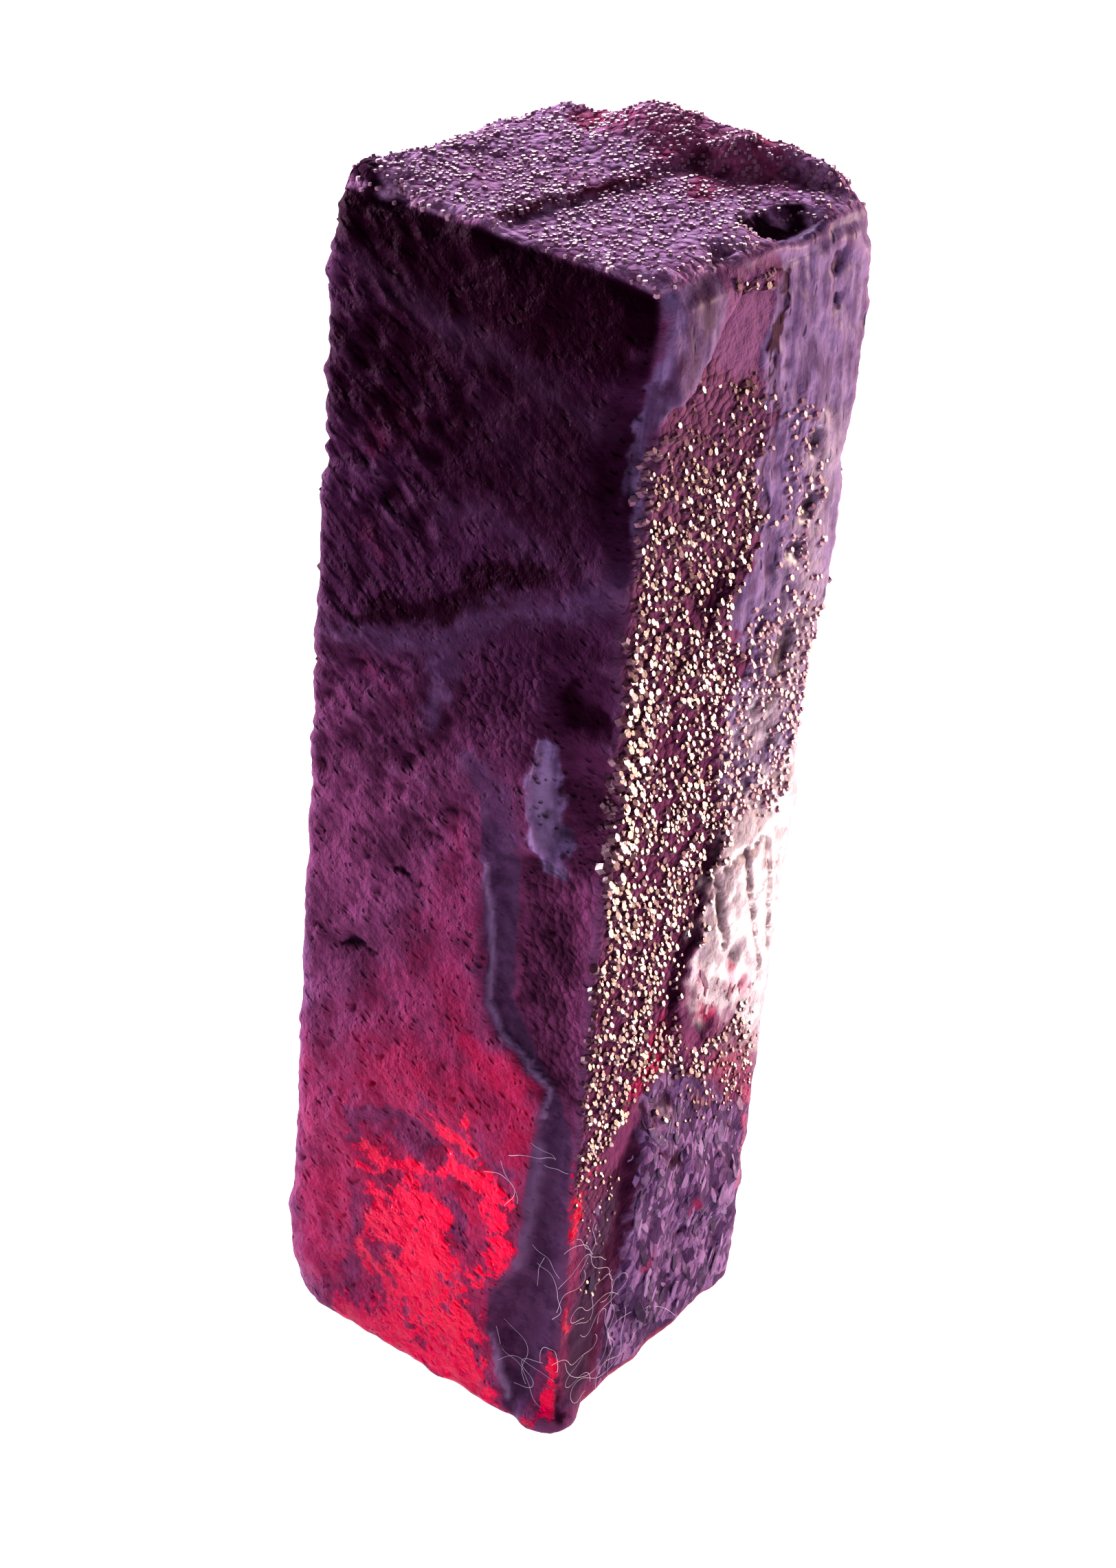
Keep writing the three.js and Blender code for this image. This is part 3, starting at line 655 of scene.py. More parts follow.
# Narrow grooves and cracks
GROOVES = (
    Streak(T, ((1.0, 2.9, 0.05), (0.5, 1.4, 0.07), (0.15, -0.2, 0.07), (0.0, -1.6, 0.07)), 0.8, 0.16, 0.3),
    Streak(T, ((-0.05, -2.0, 0.08), (-0.2, -3.1, 0.1), (-0.35, -4.0, 0.06)), 0.9, 0.2, 0.3),
    Streak(R, ((0.9, 17.0, 0.04), (1.2, 15.8, 0.05), (1.5, 14.6, 0.04)), 1.0, 0.14, 0.5),
    Streak(
        R,
        ((2.0, 17.6, 0.04), (2.4, 16.0, 0.05), (3.0, 14.6, 0.04), (3.6, 13.0, 0.05), (3.9, 12.0, 0.04)),
        1.0,
        0.14,
        0.5,
    ),
    Streak(R, ((3.1, 17.6, 0.04), (3.4, 16.0, 0.04), (3.9, 14.4, 0.05), (4.2, 13.2, 0.04)), 1.0, 0.14, 0.5),
    Streak(R, ((0.8, 17.2, 0.03), (2.2, 17.5, 0.04), (3.2, 17.8, 0.03)), 0.8, 0.14, 0.5),
    Streak(R, ((2.6, 15.6, 0.03), (3.2, 15.9, 0.03), (4.0, 16.4, 0.03)), 0.7, 0.14, 0.5),
    Streak(R, ((-1.6, 10.9, 0.04), (-1.3, 9.9, 0.03), (-0.5, 8.2, 0.04)), 0.6, 0.12),
    Streak(F, ((4.35, 31.1, 0.02), (4.9, 31.9, 0.03), (5.4, 32.4, 0.02)), 0.35, 0.2, 0.4),
    Streak(R, ((-5.2, 31.9, 0.02), (-4.6, 32.7, 0.03), (-4.2, 33.4, 0.02)), 0.35, 0.2, 0.4),
)
# Each mask of the skin that marks are laid for
MARKS = {
    "window": WINDOWS,
    "glow": GLOWS,
    "smut": SMUTS,
    "dark": SHADES_AND_DARKS,
    "film": FILMS,
    "grainy": GRAINY,
    "pebbled": PEBBLED,
    "ridged": RIDGED,
    "plate": PLATES,
    "bright": PAINTED_GLARE,
    "scale": SCALES,
    "flush": FLUSHES,
    "veil": VEILS_AND_SHEEN,
    "groove": GROOVES,
    "fringe": LIT_FRINGES,
}


# ---------------------------------------------------------------- shader desk


class Tie:
    """A shader socket with arithmetic: each operation adds a Math node."""

    def __init__(self, desk: Desk, socket: bpy.types.NodeSocket) -> None:
        """Keeps the desk that adds the nodes, and the socket."""
        self.desk = desk
        self.socket = socket

    def _math(self, operation: str, *values: Tie | float) -> Tie:
        """Adds a Math node with these values on its sockets."""
        settings = {"operation": operation}
        return self.desk.node("ShaderNodeMath", settings, dict(enumerate(values)))

    def __add__(self, other: Tie | float) -> Tie:
        """Sum."""
        return self._math("ADD", self, other)

    def __radd__(self, other: float) -> Tie:
        """Sum, with a plain number first."""
        return self._math("ADD", other, self)

    def __sub__(self, other: Tie | float) -> Tie:
        """Difference."""
        return self._math("SUBTRACT", self, other)

    def __rsub__(self, other: float) -> Tie:
        """Difference, with a plain number first."""
        return self._math("SUBTRACT", other, self)

    def __mul__(self, other: Tie | float) -> Tie:
        """Product."""
        return self._math("MULTIPLY", self, other)

    def __rmul__(self, other: float) -> Tie:
        """Product, with a plain number first."""
        return self._math("MULTIPLY", other, self)

    def at_least(self, other: Tie | float) -> Tie:
        """The greater of the two."""
        return self._math("MAXIMUM", self, other)

    def above(self, other: Tie | float) -> Tie:
        """One where this value is the greater, else 0."""
        return self._math("GREATER_THAN", self, other)

    def ramp(self, low: float, high: float, start: float = 0.0, end: float = 1.0) -> Tie:
        """A soft step.

        Args:
            low: Where the step begins.
            high: Where it is done.
            start: The outcome at low and before it.
            end: The outcome at high and past it.

        Returns:
            The outcome.
        """
        settings = {"interpolation_type": "SMOOTHSTEP"}
        sockets = {0: self, 1: low, 2: high, 3: start, 4: end}
        return self.desk.node("ShaderNodeMapRange", settings, sockets)


class Desk:
    """A material's nodes, laid out by one method."""

    def __init__(self, name: str) -> None:
        """Makes an empty material.

        Args:
            name: Its name.
        """
        self.material = bpy.data.materials.new(name)
        self.material.use_nodes = True
        self.tree = self.material.node_tree
        self.tree.nodes.clear()

    def node(
        self,
        kind: str,
        settings: dict[str, object] | None = None,
        sockets: dict[str | int, object] | None = None,
        out: str | int = 0,
    ) -> Tie:
        """Adds one node.

        Args:
            kind: The node's type.
            settings: Its own settings, set before its sockets.
            sockets: Values or links of its input sockets, by name or number.
            out: The output wanted.

        Returns:
            That output.
        """
        made = self.tree.nodes.new(kind)
        for name, value in (settings or {}).items():
            setattr(made, name, value)
        for name, value in (sockets or {}).items():
            if isinstance(value, Tie):
                self.tree.links.new(value.socket, made.inputs[name])
            else:
                made.inputs[name].default_value = value
        return Tie(self, made.outputs[out] if made.outputs else None)

    def mask(self, name: str) -> Tie:
        """One of the skin's own masks."""
        return self.node("ShaderNodeAttribute", {"attribute_name": name}, {}, "Fac")

    def blend(self, share: Tie | float, first: object, second: object) -> Tie:
        """A colour between two colours."""
        settings = {"data_type": "RGBA"}
        return self.node("ShaderNodeMix", settings, {0: share, 6: first, 7: second}, 2)

    def place(self) -> Tie:
        """The place on the piece, in millimetres."""
        sockets = {0: self.node("ShaderNodeTexCoord", {}, {}, "Object"), "Scale": 1 / MILLIMETRE}
        return self.node("ShaderNodeVectorMath", {"operation": "SCALE"}, sockets)

    def noise(self, place: Tie, size: float, detail: float = 2.0, roughness: float = 0.6) -> Tie:
        """Noise from 0 to 1 with bumps of that size in millimetres."""
        sockets = {"Vector": place, "Scale": 1 / size, "Detail": detail, "Roughness": roughness}
        return self.node("ShaderNodeTexNoise", {}, sockets)

    def pebbles(self, place: Tie, size: float) -> Tie:
        """Rounded pebbles side by side.

        Args:
            place: The place, in millimetres.
            size: The distance between neighbouring pebbles.

        Returns:
            The height: 0 at their rims, up to 1 on top.
        """
        sockets = {"Vector": place, "Scale": 1 / size}
        away = self.node("ShaderNodeTexVoronoi", {}, sockets, "Distance")
        return 1 - away * away * 1.6

    def patches(self, place: Tie, size: float) -> Tie:
        """Angular patches side by side.

        Args:
            place: The place, in millimetres.
            size: The distance between neighbouring patches.

        Returns:
            One random number from 0 to 1 for each patch.
        """
        sockets = {"Vector": place, "Scale": 1 / size}
        colour = self.node("ShaderNodeTexVoronoi", {}, sockets, "Color")
        return self.node("ShaderNodeSeparateColor", {}, {0: colour})

    def pits(self, place: Tie, spacing: float, kept: float) -> Tie:
        """Small round pits, 1 at their middles and 0 between them.

        Args:
            place: The place, in millimetres.
            spacing: The distance between neighbouring pits.
            kept: The share of the pits that is left out.

        Returns:
            The depth, from 0 to 1.
        """
        sockets = {"Vector": place, "Scale": 1 / spacing}
        away = self.node("ShaderNodeTexVoronoi", {}, sockets, "Distance")
        mark = Tie(self, away.socket.node.outputs["Color"])
        parts = self.node("ShaderNodeSeparateColor", {}, {0: mark})
        other = Tie(self, parts.socket.node.outputs[1])
        return away.ramp(parts * 0.18 + 0.2, 0.05) * other.above(kept)

    def stretched(self, place: Tie, reach: tuple[float, float, float], slant: float) -> Tie:
        """The place squeezed, so that a pattern comes out long where reach is great.

        Args:
            place: The place, in millimetres.
            reach: How long the pattern gets along each axis.
            slant: How far it leans, in radians.

        Returns:
            The squeezed place.
        """
        sockets = {"Vector": place, "Rotation": (slant, slant, 0), "Scale": reach}
        return self.node("ShaderNodeMapping", {"vector_type": "TEXTURE"}, sockets)

    def dot(self, place: Tie, line: tuple[float, float, float]) -> Tie:
        """How far a place lies along a line."""
        settings = {"operation": "DOT_PRODUCT"}
        return self.node("ShaderNodeVectorMath", settings, {0: place, 1: line}, "Value")

    def falling(self, place: Tie, along: float, across: float, angle: float) -> Tie:
        """The place squeezed, so that a pattern comes out long and falls to the right.

        Args:
            place: The place, in millimetres.
            along: How long the pattern gets along the falling line.
            across: How wide it gets across it.
            angle: How steeply the line falls, in radians.

        Returns:
            The squeezed place.
        """
        flat, steep = math.cos(angle), math.sin(angle)
        parts = {
            0: self.dot(place, (flat / along, flat / along, -steep / along)),
            1: self.dot(place, (steep / across, steep / across, flat / across)),
        }
        return self.node("ShaderNodeCombineXYZ", {}, parts)

    def bump(self, height: Tie, reach: float) -> Tie:
        """The normal of a surface whose height goes up to reach millimetres."""
        sockets = {"Height": height, "Distance": reach * MILLIMETRE, "Strength": 1.0}
        return self.node("ShaderNodeBump", {}, sockets)

    def surface(self, sockets: dict[str, object]) -> Tie:
        """The main shader with these values."""
        return self.node("ShaderNodeBsdfPrincipled", {}, sockets)

    def output(self, surface: Tie, volume: Tie | None = None) -> bpy.types.Material:
        """Ends the material with its output node.

        Args:
            surface: The shader of its surface.
            volume: The shader of what it is filled with.

        Returns:
            The finished material.
        """
        sockets = {"Surface": surface} if volume is None else {"Surface": surface, "Volume": volume}
        self.node("ShaderNodeOutputMaterial", {}, sockets)
        return self.material


# ---------------------------------------------------------------- finishes


@dataclass(frozen=True)
class BerylFinish:
    """Red beryl: clear red inside, under a plum skin with films, grains, plates and scales."""

    ior: float = 1.57
    sheen: float = 0.03
    sheen_tint: tuple = (1.0, 0.1, 0.6, 1.0)
    skin_roughness: float = 0.62
    film_roughness: float = 0.3
    clear_roughness: float = 0.38
    clear_sheen_tint: tuple = (1.0, 0.0, 0.5, 1.0)
    clear_tint: tuple = paint(255, 8, 200)
    absorption: tuple = (0.994, 0.0, 0.76, 1.0)
    density: float = 900.0
    plum: tuple = paint(124, 68, 106)
    # The front's darker plum and wine are painted shade on its upper part
    dusky_plum: tuple = paint(74, 38, 70)
    wine: tuple = paint(38, 0, 28)
    # The painted shade tone for hollows and dark marks on the pitted sides
    pit: tuple = paint(58, 18, 48)
    deep_plum: tuple = paint(27, 0, 23)
    film: tuple = paint(92, 62, 98)
    old_film: tuple = paint(66, 38, 72)
    # A painted highlight for the rims that catch the light
    fringe: tuple = paint(148, 122, 158)
    # A painted highlight: the pale tone laid on crests, as if they catch the light
    crest_highlight: tuple = paint(140, 98, 136)
    # Paler mauve, partly a painted sheen on the front's left edge
    veil: tuple = paint(126, 86, 124)
    flush: tuple = paint(160, 42, 90)
    grain: tuple = paint(116, 74, 104)
    dark_grain: tuple = paint(110, 58, 92)
    plate: tuple = paint(140, 116, 158)
    old_plate: tuple = paint(98, 74, 112)
    # The painted glare on the plates the light catches most
    bright: tuple = paint(160, 134, 146)
    scale: tuple = paint(72, 46, 88)
    pale_scale: tuple = paint(152, 116, 162)
    top: tuple = paint(206, 164, 208)
    dull_top: tuple = paint(150, 98, 140)
    crack: tuple = paint(92, 18, 34)
    # How strongly the back and left sides are darkened: painted shade, as the lamps light them more than the
    # front
    far_shade: float = 0.62

    def drawn(self, desk: Desk, mask: dict[str, Tie]) -> dict[str, Tie]:
        """The patterns that both the relief and the colour are made of.

        Args:
            desk: Where the nodes go.
            mask: The skin's masks by name.

        Returns:
            The patterns by name.
        """
        place = desk.place()
        bare = (1 - mask["film"] * 0.8) * mask["pitted"]
        slanting = desk.falling(place, 0.6, 0.34, 0.35)
        small = desk.pits(slanting, 1.0, 0.16) * 0.8 + desk.pits(place, 0.24, 0.6) * 0.7
        upright = desk.stretched(place, (0.34, 0.34, 0.8), 0.1)
        on_plates = desk.pits(upright, 1.0, 0.66) * mask["plate"] * (1 - mask["bright"] * 0.7)
        broad = desk.patches(desk.stretched(place, (0.42, 0.42, 1.0), 0.3), 1.0)
        narrow = desk.patches(desk.stretched(place, (0.16, 0.16, 0.45), -0.2), 1.0)
        lace, fine = desk.noise(place, 0.9, 6.0, 0.72), desk.noise(place, 0.3, 3.0, 0.6)
        return {
            "place": place,
            "lace": lace,
            "fine": fine,
            "lacy": (lace - 0.5) * 4.4 + (fine - 0.5) * 1.6,
            "holes": small * bare + on_plates,
            "streaks": desk.noise(desk.stretched(place, (0.32, 0.32, 3.0), 0.1), 1.0, 2.5, 0.6),
            "leaves": broad * 0.55 + narrow * 0.45,
        }

    def relief(self, desk: Desk, drawn: dict[str, Tie], mask: dict[str, Tie]) -> Tie:
        """The finest relief of the skin, as a height in millimetres.

        Args:
            desk: Where the nodes go.
            drawn: The patterns by name.
            mask: The skin's masks by name.

        Returns:
            The height.
        """
        place = drawn["place"]
        bare = (1 - mask["film"] * 0.85) * (1 - mask["plate"] * 0.7)
        ridges = desk.noise(desk.falling(place, 0.8, 0.36, 0.6), 1.0, 0.8, 0.5) - 0.5
        height = (drawn["fine"] - 0.5) * bare * 0.12 + ridges * mask["ridged"] * bare * 0.34
        height = height - drawn["holes"] * 0.12 + (drawn["fine"] - 0.5) * mask["bright"] * 0.12
        pebbled = mask["pebbled"] * 0.09 + mask["grainy"] * 0.1
        height = height + desk.pebbles(place, 0.24) * pebbled
        height = height + drawn["streaks"] * mask["plate"] * 0.035 + drawn["leaves"] * mask["bright"] * 0.07
        return height + drawn["leaves"] * mask["scale"] * 0.05

    def colour(self, desk: Desk, drawn: dict[str, Tie], mask: dict[str, Tie], cover: Tie) -> Tie:
        """The colour of the cloudy skin.

        Args:
            desk: Where the nodes go.
            drawn: The patterns by name.
            mask: The skin's masks by name.
            cover: Where dark patches stand before the windows.

        Returns:
            The colour.
        """
        lace, fine = drawn["lace"], drawn["fine"]
        ragged = (lace - 0.5) * 1.1 + (fine - 0.5) * 0.5
        broad = desk.noise(drawn["place"], 2.2, 3.0)
        # Painted shade: the front darkens upwards, its plum to a darker plum and its deep plum to wine.
        clear_plum = desk.blend(mask["dusk"], self.plum, self.dusky_plum)
        deep = desk.blend(mask["dusk"], self.deep_plum, self.wine)
        colour = desk.blend(broad.ramp(0.3, 0.62) * 0.6 + 0.4, deep, clear_plum)
        banding = drawn["streaks"] * 0.6 + lace * 0.4
        banded = desk.blend(banding.ramp(0.38, 0.6), self.old_plate, self.plate)
        leafy = desk.blend(drawn["leaves"].ramp(0.35, 0.85), self.scale, self.pale_scale)
        gritty = desk.blend(mask["deep"], self.grain, self.dark_grain)
        filmy = desk.blend(lace.ramp(0.35, 0.6), self.old_film, self.film)
        tops = desk.blend((lace + fine - 0.5).ramp(0.3, 0.7), self.dull_top, self.top)
        layers = (
            ("veil", self.veil, 1.0, 0.85),
            ("grainy", gritty, 0.6, 0.95),
            ("top", tops, 0.5, 1.0),
            ("plate", banded, 0.7, 1.0),
            ("scale", leafy, 1.0, 0.9),
            ("bright", self.bright, 0.9, 1.0),
            ("film", filmy, 0.6, 0.95),
            ("flush", self.flush, 0.9, 0.85),
        )
        for name, tone, wander, most in layers:
            share = (mask[name] + ragged * wander * 0.6).ramp(0.1, 0.9, 0.0, most) * mask[name].ramp(0.0, 0.2)
            if name == "flush":
                share = share * (1 - cover * 0.7) * (1 - mask["film"] * 0.9)
            colour = desk.blend(share, colour, tone)
        # Painted shade: where the dark marks lie, the colour goes to a shade tone, plum on the pitted sides
        # and deep plum elsewhere.
        shadow = (mask["dark"] + ragged * 0.7).ramp(0.2, 0.9) * mask["dark"].ramp(0.0, 0.2)
        sunken = desk.blend(mask["pitted"], self.pit, deep)
        colour = desk.blend(shadow * (1 - mask["film"] * 0.35), colour, sunken)
        colour = desk.blend(fine.ramp(0.46, 0.3) * mask["bright"] * 0.55, colour, self.crack)
        colour = desk.blend(fine.ramp(0.45, 0.25) * 0.3, colour, deep)
        # Painted highlight: the pale fringe along the rims.
        colour = desk.blend(mask["fringe"] * 0.8, colour, self.fringe)
        # Painted highlight: crests are lightened as if they catch the light.
        colour = desk.blend(mask["crest"] * (1 - mask["dark"]) * 0.42, colour, self.crest_highlight)
        # Painted shade: hollows are darkened towards the shade tone, less under films and on top.
        hollow_shade = mask["hollow"] * (0.75 - mask["film"] * 0.6 - mask["top"] * 0.3)
        colour = desk.blend(hollow_shade, colour, sunken)
        # Painted shade: the pits and slits are darkened.
        colour = desk.blend(drawn["holes"] * 0.35, colour, deep)
        # Painted shade: the back and left sides are darkened towards deep plum.
        colour = desk.blend(mask["far"] * self.far_shade, colour, self.deep_plum)
        return desk.blend(mask["groove"], colour, self.crack)

    def openness(self, desk: Desk, drawn: dict[str, Tie], mask: dict[str, Tie], smutty: Tie) -> Tie:
        """How much of the clear crystal shows through the skin.

        Args:
            desk: Where the nodes go.
            drawn: The patterns by name.
            mask: The skin's masks by name.
            smutty: Where dark patches stand before the windows.

        Returns:
            The share, from 0 to 1.
        """
        clouds = desk.noise(drawn["place"], 0.5, 4.0, 0.7)
        specks = (clouds - mask["window"] * 0.2).ramp(0.4, 0.5) * mask["window"].ramp(0.0, 0.3) * 0.8
        ragged = drawn["lacy"] * mask["window"].ramp(0.0, 0.4)
        window = (mask["window"] + ragged).ramp(0.36, 0.66)
        glow = mask["glow"] * drawn["lace"].ramp(0.3, 0.7, 0.65, 1.2)
        bare = (1 - mask["dark"] * 0.8) * (1 - mask["film"] * 0.95)
        return window.at_least(glow) * (1 - smutty.at_least(specks) * 0.85) * bare

    def material(self) -> bpy.types.Material:
        """Builds the material.

        Returns:
            The material, which reads the skin's masks.
        """
        desk = Desk("red_beryl")
        mask = {name: desk.mask(name) for name in CrystalBody.MASKS}
        drawn = self.drawn(desk, mask)
        ragged = drawn["lacy"] * 0.5 * mask["smut"].ramp(0.0, 0.3)
        smutty = (mask["smut"] + ragged).ramp(0.3, 0.7)
        normal = desk.bump(self.relief(desk, drawn, mask), 1.0)
        gloss = mask["film"] * 0.1 + mask["plate"] * 0.08 + mask["bright"] * 0.92
        skin = desk.surface(
            {
                "Base Color": self.colour(desk, drawn, mask, smutty),
                "Roughness": self.skin_roughness - mask["film"] * 0.1 - mask["bright"] * 0.2,
                "IOR": self.ior,
                "Specular IOR Level": self.sheen,
                "Specular Tint": self.sheen_tint,
                "Coat Weight": gloss + mask["scale"] * 0.1,
                "Coat Roughness": self.film_roughness,
                "Normal": normal,
            }
        )
        clear = desk.surface(
            {
                "Base Color": self.clear_tint,
                "Roughness": self.clear_roughness,
                "IOR": self.ior,
                "Transmission Weight": 1.0,
                "Specular Tint": self.clear_sheen_tint,
                "Normal": normal,
            }
        )
        clouded = 1 - self.openness(desk, drawn, mask, smutty)
        surface = desk.node("ShaderNodeMixShader", {}, {0: clouded, 1: clear, 2: skin})
        soak = {"Color": self.absorption, "Density": self.density}
        return desk.output(surface, desk.node("ShaderNodeVolumeAbsorption", {}, soak))


@dataclass(frozen=True)
class SugarFinish:
    """Small glassy grains on the granular skin."""

    dark: tuple = paint(96, 54, 74)
    pale: tuple = paint(186, 142, 170)
    roughness: float = 0.28
    ior: float = 1.57
    tint: tuple = (1.0, 0.82, 0.8, 1.0)

    def material(self) -> bpy.types.Material:
        """Builds the material.

        Returns:
            The finished material.
        """
        desk = Desk("sugar_grain")
        place = desk.place()
        patch = desk.noise(place, 1.2, 3.0)
        speck = desk.noise(place, 0.2, 1.0)
        share = (patch + (speck - 0.5) * 1.2).ramp(0.4, 0.75)
        share = share * 0.3 + desk.mask("pale") * 0.7
        colour = desk.blend(share, self.dark, self.pale)
        normal = desk.bump(desk.noise(place, 0.06, 1.0), 0.004)
        sockets = {
            "Base Color": colour,
            "Roughness": desk.mask("pale") * 0.16 + self.roughness,
            "IOR": self.ior,
            "Specular Tint": self.tint,
            "Normal": normal,
        }
        return desk.output(desk.surface(sockets))


@dataclass(frozen=True)
class FlakeFinish:
    """Thin violet grey flakes, cream and pink under the brightest plate, where the cream is painted glare."""

    dark: tuple = paint(56, 32, 66)
    pale: tuple = paint(146, 112, 156)
    rosy: tuple = paint(120, 40, 66)
    cream: tuple = paint(186, 150, 158)
    roughness: float = 0.5
    ior: float = 1.57
    sheen: float = 0.2
    tint: tuple = (1.0, 0.7, 0.95, 1.0)

    def material(self) -> bpy.types.Material:
        """Builds the material.

        Returns:
            The finished material.
        """
        desk = Desk("violet_flake")
        place = desk.place()
        speck = desk.noise(place, 0.3, 2.0)
        share = (desk.mask("pale") + (speck - 0.5) * 0.9).ramp(0.15, 1.0)
        violet = desk.blend(share, self.dark, self.pale)
        warm = desk.blend(share, self.rosy, self.cream)
        sockets = {
            "Base Color": desk.blend(desk.mask("bright"), violet, warm),
            "Roughness": self.roughness,
            "IOR": self.ior,
            "Specular IOR Level": self.sheen,
            "Specular Tint": self.tint,
            "Normal": desk.bump(desk.noise(place, 0.12, 1.0), 0.01),
        }
        return desk.output(desk.surface(sockets))


@dataclass(frozen=True)
class LintFinish:
    """Thin white fibres of lint."""

    bright: tuple = paint(244, 232, 248)
    dull: tuple = paint(216, 200, 222)
    roughness: float = 0.6

    def material(self) -> bpy.types.Material:
        """Builds the material.

        Returns:
            The finished material.
        """
        desk = Desk("white_lint")
        place = desk.place()
        colour = desk.blend(desk.noise(place, 0.5), self.dull, self.bright)
        normal = desk.bump(desk.noise(place, 0.03), 0.004)
        sockets = {"Base Color": colour, "Roughness": self.roughness, "Normal": normal}
        return desk.output(desk.surface(sockets))


@dataclass(frozen=True)
class FloorFinish:
    """A pale, softly lit floor."""

    pale: tuple = paint(208, 208, 214)
    warm: tuple = paint(214, 208, 208)
    glow: tuple = (0.97, 0.985, 1.0, 1.0)
    glow_strength: float = 0.72
    roughness: float = 0.7

    def material(self) -> bpy.types.Material:
        """Builds the material.

        Returns:
            The finished material.
        """
        desk = Desk("pale_floor")
        place = desk.place()
        colour = desk.blend(desk.noise(place, 40.0), self.pale, self.warm)
        normal = desk.bump(desk.noise(place, 0.5), 0.004)
        sockets = {
            "Base Color": colour,
            "Roughness": self.roughness,
            "Specular IOR Level": 0.2,
            "Emission Color": self.glow,
            "Emission Strength": self.glow_strength,
            "Normal": normal,
        }
        return desk.output(desk.surface(sockets))


# ---------------------------------------------------------------- pieces


def finished(name: str, mesh: bpy.types.Mesh, material: bpy.types.Material) -> bpy.types.Object:
    """A new object for a finished mesh, standing at the origin.

    Args:
        name: The piece's name.
        mesh: Its mesh, in metres.
        material: Its finish.

    Returns:
        The object, in the scene.
    """
    mesh.name = name
    mesh.materials.clear()
    mesh.materials.append(material)
    piece = bpy.data.objects.new(name, mesh)
    bpy.context.collection.objects.link(piece)
    return piece


def in_metres(mesh: bpy.types.Mesh) -> None:
    """Turns a mesh from millimetres into metres."""
    mesh.transform(Matrix.Scale(MILLIMETRE, 4))
    mesh.update()


def keep_values(mesh: bpy.types.Mesh, name: str, values: np.ndarray) -> None:
    """Keeps one number for each point of a mesh, for its material to read."""
    layer = mesh.attributes.new(name, "FLOAT", "POINT")
    layer.data.foreach_set("value", values.astype(np.float32))


def blunt_cone(sides: int, taper: float) -> tuple[np.ndarray, list[list[int]]]:
    """A low blunt cone of size 1.

    Args:
        sides: How many sides it has.
        taper: How wide its top is, as a share of its foot.

    Returns:
        Its corners, shape (n, 3), and its faces.
    """
    shape = bmesh.new()
    bmesh.ops.create_cone(shape, cap_ends=True, segments=sides, radius1=1.0, radius2=taper, depth=1.0)
    corners = np.array([v.co for v in shape.verts])
    faces = [[v.index for v in f.verts] for f in shape.faces]
    shape.free()
    return corners, faces


def many_copies(name: str, places: np.ndarray, faces: list[list[int]]) -> bpy.types.Mesh:
    """One mesh of many small shapes.

    Args:
        name: The mesh's name.
        places: The corners of each shape, shape (shapes, corners, 3).
        faces: The faces of one shape.

    Returns:
        The mesh.
    """
    count, corners = places.shape[:2]
    joined = [
        [corner + first for corner in face] for first in range(0, count * corners, corners) for face in faces
    ]
    mesh = bpy.data.meshes.new(name)
    mesh.from_pydata(places.reshape(-1, 3).tolist(), [], joined)
    return mesh


